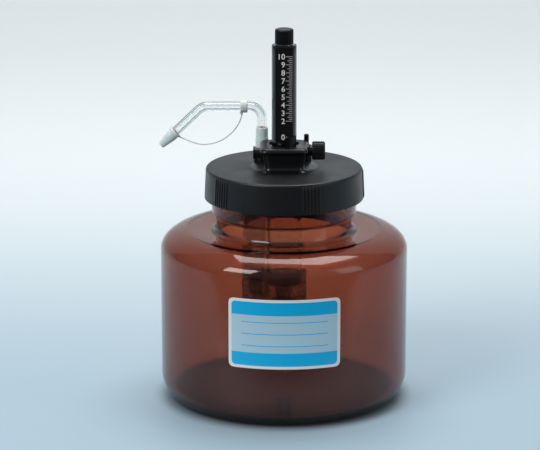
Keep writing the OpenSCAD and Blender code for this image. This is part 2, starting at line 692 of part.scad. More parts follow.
// Eight-sided cord swept along the route, which lies in the nozzle's plane
module tether() {
    sides = 8;
    n = len(tether_route);
    path = [for (p = tether_route) [joint_x + p[0], lip_z + p[1]]];
    ends = [[0, -1], [-sin(leg_angle), cos(leg_angle)]];
    points = [for (i = [0 : n - 1], k = [0 : sides - 1])
        let (t = i == 0 ? ends[0] : i == n - 1 ? ends[1] : heading(path[i - 1], path[i + 1]),
             c = tether_r * cos(360 * k / sides), s = tether_r * sin(360 * k / sides))
        [path[i][0] + c * t[1], joint_y + s, path[i][1] - c * t[0]]];
    walls = [for (i = [0 : n - 2], k = [0 : sides - 1])
        let (a = sides * i + k, b = sides * i + (k + 1) % sides) [a, b, b + sides, a + sides]];
    first = [for (k = [0 : sides - 1]) sides - 1 - k];
    last = [for (k = [0 : sides - 1]) sides * (n - 1) + k];
    color("white") polyhedron(points, concat(walls, [first, last]), convexity = 6);
}

module tip_cap() color("white") along_leg() {
    gap = turn_gap;
    rotate_extrude() polygon([[nozzle_r + gap, tip_cap_s], [nozzle_r + 1.2, tip_cap_s],
        [nozzle_r + 1.2, tip_cap_s + 1.2], [nozzle_r + 0.7, tip_cap_s + 1.2],
        [nozzle_r + 0.7, tip_cap_s + 4.4], [nozzle_r / 2 + 0.6, nozzle_leg], [0, nozzle_leg],
        [0, tip_end_s + 0.6], [nozzle_r / 2 + gap, tip_end_s + 0.6], [nozzle_r / 2 + gap, tip_end_s],
        [nozzle_r + gap, taper_s + gap]]);
    translate([-nozzle_r - 1.7, 0, tip_cap_s + 0.6]) rotate([0, 90, 0]) cylinder(r = 0.5, h = 1);
}

bottle();
label();
cap_gasket();
screw_cap();
pump_housing();
retaining_ring();
manifold();
manifold_screws();
riser_seal();
barrel();
barrel_seals();
guide_bush();
index_tab();
side_plug();
valve_block();
inlet_nipple();
inlet_seat();
inlet_ball();
suction_tube();
outlet_tube();
outlet_seals();
outlet_seat();
outlet_cage();
outlet_ball();
scale_sleeve();
scale_plate();
plunger_rod();
piston();
piston_rings();
top_washer();
knob_insert();
top_knob();
lock_shoe();
lock_screw();
vent_plug();
nozzle_joint();
joint_seal();
nozzle_tube();
tether_ring();
tether();
tip_cap();
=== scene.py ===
# Looks of a bottle-top piston dispenser (piston burette) on its amber glass bottle.
# Metres, +Z up, origin at the centre of the bottle's base, nozzle to -X, scale to -Y.

import math

import bmesh
import bpy
import numpy as np
from bpy.props import FloatProperty, FloatVectorProperty, IntProperty, PointerProperty
from bpy.types import Operator, Panel, PropertyGroup
from mathutils import Matrix, Vector


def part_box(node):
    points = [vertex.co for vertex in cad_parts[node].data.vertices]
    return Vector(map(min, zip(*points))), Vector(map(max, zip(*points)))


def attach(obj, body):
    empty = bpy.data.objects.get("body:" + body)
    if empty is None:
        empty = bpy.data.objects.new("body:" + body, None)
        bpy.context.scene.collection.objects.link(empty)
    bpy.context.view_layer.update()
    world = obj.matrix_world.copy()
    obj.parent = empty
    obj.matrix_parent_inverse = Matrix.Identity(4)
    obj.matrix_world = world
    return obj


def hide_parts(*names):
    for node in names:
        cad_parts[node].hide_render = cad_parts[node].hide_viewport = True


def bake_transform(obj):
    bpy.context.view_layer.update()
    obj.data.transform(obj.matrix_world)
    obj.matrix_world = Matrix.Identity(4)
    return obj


bl_info = {
    "name": "Bottle-top dispenser",
    "version": (1, 0, 0),
    "blender": (4, 5, 0),
    "location": "3D View > Sidebar > Dispenser",
    "description": "Builds the looks of a bottle-top dispenser round its frame",
    "category": "Add Mesh",
}

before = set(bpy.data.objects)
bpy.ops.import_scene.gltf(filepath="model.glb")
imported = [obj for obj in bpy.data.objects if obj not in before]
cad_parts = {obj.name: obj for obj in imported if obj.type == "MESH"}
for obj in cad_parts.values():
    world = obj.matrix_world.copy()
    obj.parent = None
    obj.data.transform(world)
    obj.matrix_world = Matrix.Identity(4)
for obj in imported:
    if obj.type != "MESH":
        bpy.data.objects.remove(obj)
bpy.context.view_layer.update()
MM = 0.001
GAP = 0.05 * MM         # running gap between pieces that turn or slide
RIM_EDGE = 1.2 * MM     # rounding of the bottle's rim
CAP_EDGE = 1.3 * MM     # rounding of the cap's top edge
THREAD_TURNS = 1.25     # of the ridge on the neck and of the one in the cap
NECK_THREAD = 2.9 * MM  # where the neck's ridge starts, over the cap's lower edge
CAP_THREAD = 1.2 * MM   # where the cap's ridge starts, over its lower edge
RIB_HALF = 0.62 * MM    # half the width of a grip rib
CORNER = 3.6 * MM       # rounding of the housing block's upright corners
FLUTE = 0.42 * MM       # depth and half width of a knob's flutes
TAU = 2 * math.pi


def linear(code):
    """Linear RGBA of an sRGB hex colour such as 8A4A32."""
    parts = [int(code[i:i + 2], 16) / 255 for i in (0, 2, 4)]
    return tuple(c / 12.92 if c <= 0.04045 else ((c + 0.055) / 1.055) ** 2.4 for c in parts) + (1.0,)


# ---------------------------------------------------------------- places taken from the frame

def low(node):
    """Lowest corner of a CAD node, as an array."""
    return np.array(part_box(node)[0])


def high(node):
    """Highest corner of a CAD node, as an array."""
    return np.array(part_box(node)[1])


BODY_R = high("bottle")[0]
RIM_Z = high("bottle")[2]
CAP_Z = low("screw_cap")[2]
CAP_TOP_Z = high("screw_cap")[2]
LIP_Z = high("pump_housing")[2]
LABEL_Z = (low("label")[2] + high("label")[2]) / 2
SLEEVE_R = high("scale_sleeve")[0]
PLATE_Y = low("scale_plate")[1]
JOINT = (low("nozzle_joint") + high("nozzle_joint")) / 2
NOZZLE_R = high("nozzle_tube")[1] - JOINT[1]
LEVEL_Z = high("nozzle_tube")[2] - NOZZLE_R
LOCK = (low("lock_screw") + high("lock_screw")) / 2
BARREL_R = high("barrel")[0]
SPIGOT_Z = low("pump_housing")[2]


# ---------------------------------------------------------------- sizes and colours a user may change

def length(name, description, default):
    """A size in metres, shown with its unit."""
    return FloatProperty(name=name, description=description, default=default, min=0.0001,
                         subtype="DISTANCE", unit="LENGTH", precision=4)


def colour(name, description, code):
    """A colour, given as sRGB hex."""
    return FloatVectorProperty(name=name, description=description, default=linear(code), size=4,
                               min=0, max=1, subtype="COLOR")


class DispenserSizes(PropertyGroup):
    shoulder_z: length("Shoulder height", "Height at which the rounded shoulder starts", 0.087)
    shoulder_run: length("Shoulder run", "How far the shoulder reaches in from the wall", 0.020)
    shoulder_rise: length("Shoulder rise", "How far the shoulder rises to the neck", 0.012)
    heel_width: length("Heel width", "Width of the rounded heel", 0.0105)
    heel_height: length("Heel height", "Height of the rounded heel", 0.015)
    wall: length("Wall", "Thickness of the bottle's wall", 0.0032)
    floor: length("Floor", "Thickness of the bottle's floor", 0.004)
    neck_r: length("Neck radius", "Outside radius of the neck's band and thread", 0.0413)
    neck_low_r: length("Lower neck radius", "Outside radius of the neck under its band", 0.0387)
    band_rise: length("Band height", "Height of the band's lower edge over the shoulder", 0.0086)
    mouth_r: length("Mouth radius", "Inside radius of the bottle's neck", 0.0367)
    thread_pitch: length("Thread pitch", "Rise of the neck thread in one turn", 0.005)
    thread_height: length("Thread height", "How far the thread stands out", 0.0015)
    cap_bore_r: length("Cap bore radius", "Inside radius of the cap's skirt", 0.0432)
    cap_low_r: length("Cap radius", "Radius of the skirt at its lower edge", 0.0454)
    cap_high_r: length("Cap top radius", "Radius of the skirt at its top", 0.0446)
    cap_top: length("Cap top thickness", "Thickness of the cap's top", 0.0022)
    rib_height: length("Rib height", "How far a grip rib stands out", 0.00055)
    block_half: length("Block half width", "Half the width of the housing block", 0.0122)
    block_front: length("Block front", "Distance from the plunger's axis to the block's front", 0.0148)
    block_back: length("Block back", "Distance from the plunger's axis to the block's back", 0.0097)
    lip_height: length("Lip height", "Height of the flared lip", 0.0024)
    opening_r: length("Opening radius", "Radius of the opening round the plunger", 0.00857)
    foot_r: length("Foot radius", "Radius of the round foot on the cap", 0.0195)
    spigot_r: length("Spigot radius", "Radius of the spigot through the cap", 0.017)
    millilitre: length("Mark spacing", "Height of one millilitre on the scale", 0.004643)
    zero_above_lip: length("Zero mark height", "Height of the zero mark above the lip", 0.00475)
    digit: length("Digit height", "Height of the scale's numbers", 0.0031)
    nozzle_bore: length("Nozzle bore", "Inside radius of the glass nozzle", 0.0014)
    bend_r: length("First bend", "Radius of the nozzle's first bend", 0.007)
    leg_bend_r: length("Second bend", "Radius of the nozzle's second bend", 0.008)
    reach: length("Reach", "Distance from the joint to the nozzle's corner", 0.0341)
    leg: length("Leg", "Length of the slanted leg with its cap", 0.033)
    tether_r: length("Tether radius", "Radius of the thin strap to the tip cap", 0.0004)
    rib_groups: IntProperty(name="Rib groups", description="Groups of ribs round the cap",
                            default=5, min=3, max=8)
    ribs: IntProperty(name="Ribs", description="Ribs in one group", default=6, min=3, max=8)
    leg_slope: FloatProperty(name="Leg slope", description="Slope of the nozzle's leg",
                             default=math.radians(44), subtype="ANGLE", unit="ROTATION")


class DispenserColours(PropertyGroup):
    amber: colour("Amber", "Colour that the bottle's glass lets through", "CE8446")
    cap: colour("Cap plastic", "Colour of the screw cap", "101216")
    housing: colour("Housing plastic", "Colour of the pump housing and knobs", "0A0B0D")
    sleeve: colour("Sleeve plastic", "Colour of the plunger's sleeve", "040405")
    plate: colour("Scale plate", "Ground colour of the scale", "0C0908")
    ink: colour("Scale print", "Colour of the marks and numbers", "F4F4F0")
    label_blue: colour("Label blue", "Colour of the label's bands", "05BEF8")
    label_silver: colour("Label silver", "Colour of the label's middle", "BFE2F2")
    label_white: colour("Label white", "Colour of the label's border", "FAFCFC")
    soft_white: colour("Soft white", "Colour of the tip cap, its ring and its tether", "EEF3F4")
    joint: colour("Joint white", "Colour of the nozzle's joint", "EEF4F8")
    rubber: colour("Seals", "Colour of the rubber seals", "202122")
    ground: colour("Floor", "Colour of the floor by the bottle", "9DB4C2")
    backdrop: colour("Backdrop", "Colour of the backdrop behind", "E6EBEC")


# ---------------------------------------------------------------- surfaces

def arc(cx, cz, rx, rz, start, end, steps=12):
    """Points on an ellipse: centre plus (rx cos a, rz sin a), for a from start to end in degrees."""
    a = np.radians(np.linspace(start, end, steps))
    return np.stack([cx + rx * np.cos(a), cz + rz * np.sin(a)], axis=1)


def softened(corners, radius, steps=5, closed=False):
    """Rounds a polyline's corners: each becomes the curve (1-t)^2 P + 2t(1-t) C + t^2 Q, where P and Q
    lie on the two sides, at most the radius and 0.45 of a side from the corner C."""
    c = np.array(corners, float)
    before, after = np.roll(c, 1, 0) - c, np.roll(c, -1, 0) - c
    t = np.linspace(0, 1, steps)[None, :, None]
    reach = [np.minimum(radius, 0.45 * np.linalg.norm(d, axis=1))[:, None] for d in (before, after)]
    p = c + before / np.linalg.norm(before, axis=1)[:, None] * reach[0]
    q = c + after / np.linalg.norm(after, axis=1)[:, None] * reach[1]
    if not closed:
        p[[0, -1]] = q[[0, -1]] = c[[0, -1]]
    curve = (1 - t) ** 2 * p[:, None] + 2 * t * (1 - t) * c[:, None] + t ** 2 * q[:, None]
    points = curve.reshape(-1, c.shape[1])
    keep = np.ones(len(points), bool)
    keep[1:] = np.linalg.norm(np.diff(points, axis=0), axis=1) > 1e-8
    return points[keep]


def divided(points, step):
    """Adds points along a polyline, evenly spaced and at most a step apart, and keeps its corners."""
    parts = [np.linspace(a, b, max(2, int(np.ceil(np.linalg.norm(b - a) / step)) + 1))[:-1]
             for a, b in zip(points[:-1], points[1:])]
    return np.concatenate(parts + [points[-1:]])


def turned(profile, angles):
    """Surface of revolution: the point (r, z) of the profile at angle a is (r cos a, r sin a, z)."""
    r, z = profile[:, 0, None], profile[:, 1, None]
    return np.stack([r * np.cos(angles), r * np.sin(angles), z + 0 * angles], axis=-1)


def full_turn(steps):
    """Angles of one full turn, its end left out."""
    return np.linspace(0, TAU, steps, endpoint=False)


def swept(path, radii, sides):
    """Tube along a path: each ring is the path's point plus r (cos a N + sin a B), where N and B are square
    to the path, carried from ring to ring without twist in the path's own plane."""
    tangent = np.gradient(path, axis=0)
    tangent /= np.linalg.norm(tangent, axis=1)[:, None]
    across = np.tile([0.0, 1.0, 0.0], (len(path), 1))
    normal = np.cross(across, tangent)
    a = full_turn(sides)[None, :, None]
    r = np.broadcast_to(radii, len(path))[:, None, None]
    return path[:, None] + r * (np.cos(a) * normal[:, None] + np.sin(a) * across[:, None])


def placed(points, x_axis, z_axis, origin):
    """Moves points so that their X and Z axes point along the two given axes, from the given origin."""
    x, z = np.array(x_axis, float), np.array(z_axis, float)
    return points @ np.stack([x, np.cross(z, x), z]) + np.array(origin, float)


def grid_faces(rows, columns, first=0, loop=False):
    """Quads of a grid whose columns close on themselves, and whose rows do too where loop is set."""
    j, i = np.meshgrid(np.arange(rows if loop else rows - 1), np.arange(columns), indexing="ij")
    k, n = (i + 1) % columns, (j + 1) % rows
    return np.stack([j * columns + i, j * columns + k, n * columns + k, n * columns + i],
                    axis=-1).reshape(-1, 4) + first


def shell(name, grids, loops=False, sharp=32):
    """One object from one or more grids of points. Rows at a pole are welded, and edges sharper than
    the angle stay sharp."""
    vertices, faces, first = [], [], 0
    for grid in grids:
        rows, columns = grid.shape[:2]
        vertices.append(grid.reshape(-1, 3))
        faces.append(grid_faces(rows, columns, first, loops))
        first += rows * columns
    mesh = bpy.data.meshes.new(name)
    mesh.from_pydata(np.concatenate(vertices).tolist(), [], np.concatenate(faces).tolist())
    work = bmesh.new()
    work.from_mesh(mesh)
    bmesh.ops.remove_doubles(work, verts=work.verts, dist=1e-7)
    bmesh.ops.dissolve_degenerate(work, edges=work.edges, dist=1e-8)
    work.to_mesh(mesh)
    work.free()
    mesh.shade_smooth()
    mesh.set_sharp_from_angle(angle=math.radians(sharp))
    piece = bpy.data.objects.new(name, mesh)
    bpy.context.scene.collection.objects.link(piece)
    return piece


def joined(name, pieces):
    """One object from several, with their material slots kept."""
    with bpy.context.temp_override(active_object=pieces[0], object=pieces[0],
                                   selected_editable_objects=pieces, selected_objects=pieces):
        bpy.ops.object.join()
    pieces[0].name = name
    return pieces[0]


def fit_out(piece, body, slot, *nodes, finish=None):
    """Gives a piece its finish, which is its slot's own unless another is named, seats it on its body
    and hides the CAD nodes it stands for."""
    piece.data.materials.clear()
    piece.data.materials.append(finish_of(finish or slot))
    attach(piece, body)
    if nodes:
        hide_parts(*nodes)


# ---------------------------------------------------------------- materials

def add_node(tree, kind, settings=None, inputs=None):
    """Adds a shader node, sets its own settings, and links or sets its inputs: a socket is linked."""
    node = tree.nodes.new("ShaderNode" + kind)
    for name, value in (settings or {}).items():
        setattr(node, name, value)
    for key, value in (inputs or {}).items():
        if isinstance(value, bpy.types.NodeSocket):
            tree.links.new(value, node.inputs[key])
        else:
            node.inputs[key].default_value = value
    return node


def maths(tree, operation, first, second, kind="Math"):
    """Adds a maths node with two inputs and returns its first output."""
    return add_node(tree, kind, {"operation": operation}, {0: first, 1: second}).outputs[0]


def mixed(tree, share, dark, light):
    """Adds a colour mix and returns its colour."""
    return add_node(tree, "Mix", {"data_type": "RGBA"}, {0: share, 6: dark, 7: light}).outputs[2]


def bumped(tree, shader, noise, depth, strength):
    """Drives the shader's normal with a bump made from a noise's value."""
    bump = add_node(tree, "Bump", inputs={"Height": noise.outputs["Fac"], "Distance": depth,
                                          "Strength": strength})
    tree.links.new(bump.outputs["Normal"], shader.inputs["Normal"])


def start_material(name, inputs):
    """A material with one Principled shader. Returns it, its tree, its shader and object coordinates."""
    material = bpy.data.materials.new(name)
    material.use_nodes = True
    tree = material.node_tree
    tree.nodes.clear()
    shader = add_node(tree, "BsdfPrincipled", inputs=inputs)
    add_node(tree, "OutputMaterial", inputs={"Surface": shader.outputs[0]})
    where = add_node(tree, "TexCoord").outputs["Object"]
    return material, tree, shader, where


def grained(name, base, roughness, grain, depth, spread=0.06, mottle=0.12, extra=None):
    """Moulded or turned surface: fine grain as bump, slow change in tone and gloss.
    grain is the grain's size and depth its height, in metres."""
    material, tree, shader, where = start_material(name, {"Base Color": base, "Roughness": roughness,
                                                          **(extra or {})})
    fine = add_node(tree, "TexNoise", inputs={"Vector": where, "Scale": 1 / grain, "Detail": 3.0,
                                              "Roughness": 0.6})
    slow = add_node(tree, "TexNoise", inputs={"Vector": where, "Scale": 55.0, "Detail": 4.0})
    dark = tuple(c * (1 - mottle) for c in base[:3]) + (1.0,)
    light = tuple(min(1.0, c * (1 + mottle)) for c in base[:3]) + (1.0,)
    tone = mixed(tree, slow.outputs["Fac"], dark, light)
    gloss = add_node(tree, "MapRange", inputs={
        "Value": slow.outputs["Fac"], "From Min": 0.3, "From Max": 0.7,
        "To Min": roughness - spread, "To Max": roughness + spread})
    bumped(tree, shader, fine, depth, 1.0)
    tree.links.new(tone, shader.inputs["Base Color"])
    tree.links.new(gloss.outputs["Result"], shader.inputs["Roughness"])
    return material


def amber_glass(colours):
    """Amber soda-lime glass, blown in a mould: absorbs blue and green in its thickness, so that rims and
    heel go dark, and its wall waves a little."""
    material, tree, shader, where = start_material("amber_glass_blown", {
        "Base Color": (0.93, 0.72, 0.62, 1.0), "Roughness": 0.01, "IOR": 1.5,
        "Transmission Weight": 1.0})
    wave = add_node(tree, "TexNoise", inputs={"Vector": where, "Scale": 28.0, "Detail": 1.0})
    bumped(tree, shader, wave, 0.0006, 0.35)
    tint = tuple(colours.amber)
    absorb = add_node(tree, "VolumeAbsorption", inputs={"Color": tint, "Density": 430.0})
    output = next(n for n in tree.nodes if n.type == "OUTPUT_MATERIAL")
    tree.links.new(absorb.outputs[0], output.inputs["Volume"])
    return material


def clear_glass(name, inputs):
    """Drawn borosilicate glass or clear fluoropolymer tube: clear, with faint draw lines along it."""
    material, tree, shader, where = start_material(name, inputs)
    lines = add_node(tree, "TexNoise", inputs={"Vector": where, "Scale": 350.0})
    bumped(tree, shader, lines, 0.00002, 0.5)
    return material


def printed_label(colours):
    """Screen-printed vinyl label: white border, two bands, a silvery middle with ruled lines to write on.
    Distances are measured from the label's centre in its own X and Z."""
    material, tree, shader, where = start_material("vinyl_label_printed", {
        "Roughness": 0.34, "Coat Weight": 0.25, "Coat Roughness": 0.12})
    size = (high("label") - low("label")) / 2
    border, corner, band_z, rule_gap, rule, rule_end = (v * MM for v in (1.6, 2.2, 10.8, 3.4, 0.22, 24))
    spread = add_node(tree, "VectorMath", {"operation": "MULTIPLY_ADD"},
                      {0: where, 1: (1, 0, 1), 2: (0, 0, -LABEL_Z)}).outputs[0]
    fold = add_node(tree, "VectorMath", {"operation": "ABSOLUTE"}, {0: spread}).outputs[0]
    past = maths(tree, "SUBTRACT", fold, (size[0] - border - corner, 0, size[2] - border - corner),
                 "VectorMath")
    clip = maths(tree, "MAXIMUM", past, (0, 0, 0), "VectorMath")
    reach = add_node(tree, "VectorMath", {"operation": "LENGTH"}, {0: clip}).outputs["Value"]
    inside = maths(tree, "LESS_THAN", reach, corner)
    parts = add_node(tree, "SeparateXYZ", inputs={0: fold})
    signed = add_node(tree, "SeparateXYZ", inputs={0: spread})
    band = maths(tree, "GREATER_THAN", parts.outputs["Z"], band_z)
    ruled = maths(tree, "PINGPONG", signed.outputs["Z"], rule_gap)
    line = maths(tree, "MULTIPLY", maths(tree, "LESS_THAN", ruled, rule),
                 maths(tree, "LESS_THAN", parts.outputs["X"], rule_end))
    blue = tuple(colours.label_blue)
    middle = mixed(tree, line, tuple(colours.label_silver), blue)
    bands = mixed(tree, band, middle, blue)
    face = mixed(tree, inside, tuple(colours.label_white), bands)
    tree.links.new(face, shader.inputs["Base Color"])
    fibre = add_node(tree, "TexNoise", inputs={"Vector": where, "Scale": 1800.0})
    bumped(tree, shader, fibre, 0.00001, 0.4)
    return material


def make_materials():
    """Every finish by the name of its slot. Called once by the first operator that needs it."""
    c = bpy.context.scene.dispenser_colours
    made = {
        "amber_glass": amber_glass(c),
        "printed_label": printed_label(c),
        # Polypropylene, injection moulded with a satin texture: soft wide highlights
        "cap_plastic": grained("polypropylene_satin_moulded", tuple(c.cap), 0.40, 0.35 * MM, 0.012 * MM),
        # Polypropylene with a finer texture, glossier where fingers polish it
        "housing_plastic": grained("polypropylene_fine_moulded", tuple(c.housing), 0.30, 0.3 * MM,
                                   0.008 * MM),
        # Polypropylene without pigment, moulded: milky, lets the light through
        "inner_plastic": grained("polypropylene_natural_moulded", linear("C9CFD2"), 0.25, 0.5 * MM,
                                 0.006 * MM, mottle=0.03, extra={"Transmission Weight": 0.8}),
        "knob_plastic": grained("abs_knob_moulded", tuple(c.housing), 0.34, 0.3 * MM, 0.008 * MM),
        # Polycarbonate extrusion, polished: sharp streaks of light down its length
        "sleeve_plastic": grained("polycarbonate_sleeve_polished", tuple(c.sleeve), 0.16, 0.8 * MM,
                                  0.002 * MM, spread=0.03, extra={"Coat Weight": 0.3}),
        # Anodised and printed aluminium strip: a dark, slightly satin ground
        "scale_print": grained("scale_plate_anodised", tuple(c.plate), 0.32, 0.4 * MM, 0.003 * MM,
                               extra={"Coat Weight": 0.2}),
        "scale_ink": grained("epoxy_ink_screen_printed", tuple(c.ink), 0.45, 0.3 * MM, 0.002 * MM,
                             mottle=0.02),
        "steel": grained("stainless_steel_turned", linear("B8B9BA"), 0.26, 0.2 * MM, 0.003 * MM,
                         extra={"Metallic": 1.0}),
        "brass": grained("brass_turned", linear("B88A3C"), 0.28, 0.2 * MM, 0.003 * MM,
                         extra={"Metallic": 1.0}),
        "seal_rubber": grained("fluorocarbon_rubber_moulded", tuple(c.rubber), 0.62, 0.3 * MM,
                               0.01 * MM),
        # PTFE, turned: waxy white with light soaking in
        "white_ptfe": grained("ptfe_turned", linear("E9ECEB"), 0.42, 0.3 * MM, 0.006 * MM, mottle=0.03,
                              extra={"Subsurface Weight": 0.5, "Subsurface Scale": 0.002}),
        # Perfluoroalkoxy, moulded: milky and a little see-through
        "joint_white": grained("pfa_joint_moulded", tuple(c.joint), 0.30, 0.6 * MM, 0.004 * MM,
                               mottle=0.03, extra={"Subsurface Weight": 0.6, "Subsurface Scale": 0.003}),
        # Low-density polyethylene, moulded: milky, soft shine
        "soft_white": grained("polyethylene_moulded", tuple(c.soft_white), 0.34, 0.5 * MM,
                              0.005 * MM, mottle=0.03,
                              extra={"Subsurface Weight": 0.6, "Subsurface Scale": 0.002}),
        "clear_glass": clear_glass("borosilicate_glass_drawn", {
            "Base Color": (0.96, 0.98, 0.98, 1.0), "Roughness": 0.01, "IOR": 1.47,
            "Transmission Weight": 1.0}),
        "clear_tube": clear_glass("fep_tube_extruded", {
            "Base Color": (0.92, 0.94, 0.95, 1.0), "Roughness": 0.12, "IOR": 1.34,
            "Transmission Weight": 0.85}),
    }
    return made


FINISHES = {}


def finish_of(slot):
    """The material of a slot, made on first use."""
    if not FINISHES:
        FINISHES.update(make_materials())
    return FINISHES[slot]


# ---------------------------------------------------------------- bottle and label

def thread_bump(angles, z, start_z, pitch, height):
    """Height of a helical ridge: over each turn k the ridge's line is start + pitch (a / turn + k). It
    rises over 0.7 mm from 1.1 mm beside the line to a flat crest, and fades in and out at its ends."""
    rise = np.zeros(np.broadcast(angles, z).shape)
    for k in range(2):
        along = (angles / TAU + k) / THREAD_TURNS
        fade = np.clip(np.minimum(along, 1 - along) * 11, 0, 1)
        d = np.abs(z - start_z - pitch * (angles / TAU + k))
        rise = np.maximum(rise, height * fade * np.clip((1.1 * MM - d) / (0.7 * MM), 0, 1))
    return rise


def bottle_side(s, inset, floor_z, low_r, neck_r, top_z):
    """One wall of the bottle from its axis up to the rim: quarter ellipses for heel and shoulder."""
    base_z = s.shoulder_z + s.shoulder_rise
    heel = arc(BODY_R - s.heel_width, s.heel_height, s.heel_width - inset, s.heel_height - floor_z,
               -90, 0, 22)
    shoulder = arc(BODY_R - s.shoulder_run, s.shoulder_z, s.shoulder_run - inset,
                   s.shoulder_rise - inset, 0, 78, 22)
    band_z = base_z + s.band_rise
    root = softened([shoulder[-1], [low_r + 2.2 * MM, base_z - inset - 1.6 * MM],
                     [low_r, base_z - inset + 0.9 * MM], [low_r, band_z - 0.5 * MM],
                     [neck_r, band_z + 0.5 * MM], [neck_r, band_z + 2 * MM]], 1.4 * MM, 8)
    up = divided(np.array([[neck_r, band_z + 2 * MM], [neck_r, top_z]]), 0.4 * MM)
    middle = divided(np.array([[0.0005, floor_z], heel[0]]), 12 * MM)
    wall = divided(np.array([heel[-1], shoulder[0]]), 12 * MM)
    return np.concatenate([middle, heel[1:-1], wall, shoulder[1:-1], root, up[1:]])


class DISPENSER_OT_bottle(Operator):
    """Makes the amber bottle: outer wall, rim and inner wall in one turned surface, with band and thread"""
    bl_idname = "dispenser.bottle"
    bl_label = "Bottle"

    def execute(self, context):
        s = context.scene.dispenser_sizes
        rim_z = RIM_Z - RIM_EDGE
        outer = bottle_side(s, 0, 0, s.neck_low_r, s.neck_r, rim_z)
        inner = bottle_side(s, s.wall, s.floor, s.mouth_r, s.mouth_r, rim_z)[::-1]
        rim = np.concatenate([arc(s.neck_r - RIM_EDGE, rim_z, RIM_EDGE, RIM_EDGE, 10, 90, 6),
                              arc(s.mouth_r + RIM_EDGE, rim_z, RIM_EDGE, RIM_EDGE, 90, 170, 6)])
        profile = np.concatenate([outer, rim, inner])
        angles = full_turn(208)
        points = turned(profile, angles)
        rows = np.zeros(len(profile))
        rows[:len(outer)] = 1
        ridge = thread_bump(angles[None], profile[:, 1, None], CAP_Z + NECK_THREAD, s.thread_pitch,
                            s.thread_height) * rows[:, None]
        out = ridge * (profile[:, 1, None] > CAP_Z)
        points[..., 0] += out * np.cos(angles)
        points[..., 1] += out * np.sin(angles)
        points[0, :, :2] = 0
        points[-1, :, :2] = 0
        fit_out(shell("bottle_glass", [points], sharp=60), "bottle", "amber_glass", "bottle")
        return {"FINISHED"}


class DISPENSER_OT_label(Operator):
    """Makes the label: a thin rounded rectangle bent round the bottle"""
    bl_idname = "dispenser.label"
    bl_label = "Label"

    def execute(self, context):
        half = (high("label") - low("label")) / 2
        w, h, corner = half[0], half[2], 3.2 * MM
        outline = softened([[w, -h], [w, h], [-w, h], [-w, -h]], corner, 9, closed=True)
        outline = divided(np.concatenate([outline, outline[:1]]), 1.6 * MM)[:-1]
        share = np.linspace(0, 1, 26)[:, None, None]
        flat = share * outline[None]
        outer_r = BODY_R + GAP + 0.25 * MM

        def bent(points, r):
            """A point (x, z) goes to (x, -sqrt(r^2 - x^2), z)."""
            return np.stack([points[..., 0], -np.sqrt(r ** 2 - points[..., 0] ** 2),
                             points[..., 1] + LABEL_Z], axis=-1)

        grid = np.concatenate([bent(flat, outer_r), bent(flat[::-1], BODY_R + GAP)])
        fit_out(shell("label_print", [grid], sharp=50), "bottle", "printed_label", "label")
        return {"FINISHED"}


# ---------------------------------------------------------------- cap and housing

class DISPENSER_OT_cap(Operator):
    """Makes the screw cap: a turned shell whose skirt carries groups of half-round grip ribs"""
    bl_idname = "dispenser.cap"
    bl_label = "Screw cap"

    def execute(self, context):
        s = context.scene.dispenser_sizes
        pitch, first = math.radians(2.54), math.radians(19.6 - 90)
        centres = first + np.arange(s.rib_groups) * TAU / s.rib_groups
        ribs = (centres[:, None] + pitch * (np.arange(s.ribs) - (s.ribs - 1) / 2)).ravel()
        reach = pitch * (s.ribs / 2 + 0.4)
        gap = TAU / s.rib_groups
        one = np.concatenate([np.linspace(-reach, reach, 76), np.linspace(reach, gap - reach, 26)[1:-1]])
        angles = (centres[:, None] + one).ravel()
        hole_r, in_z = s.spigot_r + 0.08 * MM, CAP_TOP_Z - s.cap_top
        corners = [[s.cap_bore_r, CAP_Z], [s.cap_low_r, CAP_Z], [s.cap_high_r, CAP_TOP_Z],
                   [hole_r, CAP_TOP_Z], [hole_r, in_z], [s.cap_bore_r, in_z], [s.cap_bore_r, CAP_Z]]
        edge = divided(np.concatenate([
            softened(corners[:2], 0.4 * MM),
            softened([corners[1], [s.cap_low_r - 0.02 * MM, CAP_Z + 0.5 * MM]], 0.2 * MM),
            arc(s.cap_high_r - CAP_EDGE, CAP_TOP_Z - CAP_EDGE, CAP_EDGE, CAP_EDGE, 2, 90, 9),
            np.array(corners[3:])]), 0.9 * MM)[:-1]
        points = turned(edge, angles)
        z = edge[:, 1, None]
        near = np.abs((angles[:, None] - ribs[None] + math.pi) % TAU - math.pi).min(1) * s.cap_low_r
        height = np.sqrt(np.clip(1 - (near / RIB_HALF) ** 2, 0, 1)) * s.rib_height
        ends = (np.clip((z - CAP_Z - 0.3 * MM) / (0.5 * MM), 0, 1)
                * np.clip((CAP_TOP_Z - CAP_EDGE - z) / (1.0 * MM), 0, 1))
        rise = height[None] * np.sqrt(ends) * (edge[:, 0, None] > s.cap_bore_r + 0.9 * MM)
        turn = thread_bump(angles[None] % TAU, z, CAP_Z + CAP_THREAD, s.thread_pitch, s.thread_height)
        rise = rise - turn * (edge[:, 0, None] < s.cap_bore_r + 0.05 * MM) * (z < in_z - 0.2 * MM)
        points[..., 0] += rise * np.cos(angles)
        points[..., 1] += rise * np.sin(angles)
        fit_out(shell("screw_cap_shell", [points], loops=True, sharp=40), "cap", "cap_plastic", "screw_cap")
        return {"FINISHED"}


def block_outline(half, front, back, count=26):
    """Rounded rectangle from -front to back in Y, as the same number of points whatever its size: each
    side is shared out evenly and each corner is a quarter circle."""
    sides = [((1, 1), 0), ((-1, 1), 90), ((-1, -1), 180), ((1, -1), 270)]
    parts = []
    for (sx, sy), turn in sides:
        cx = sx * (half - CORNER)
        cy = (back if sy > 0 else -front) - sy * CORNER
        parts.append(arc(cx, cy, CORNER, CORNER, turn, turn + 90, 9))
    line = []
    for here, after in zip(parts, parts[1:] + parts[:1]):
        line += [here, np.linspace(here[-1], after[0], count)[1:-1]]
    return np.concatenate(line)


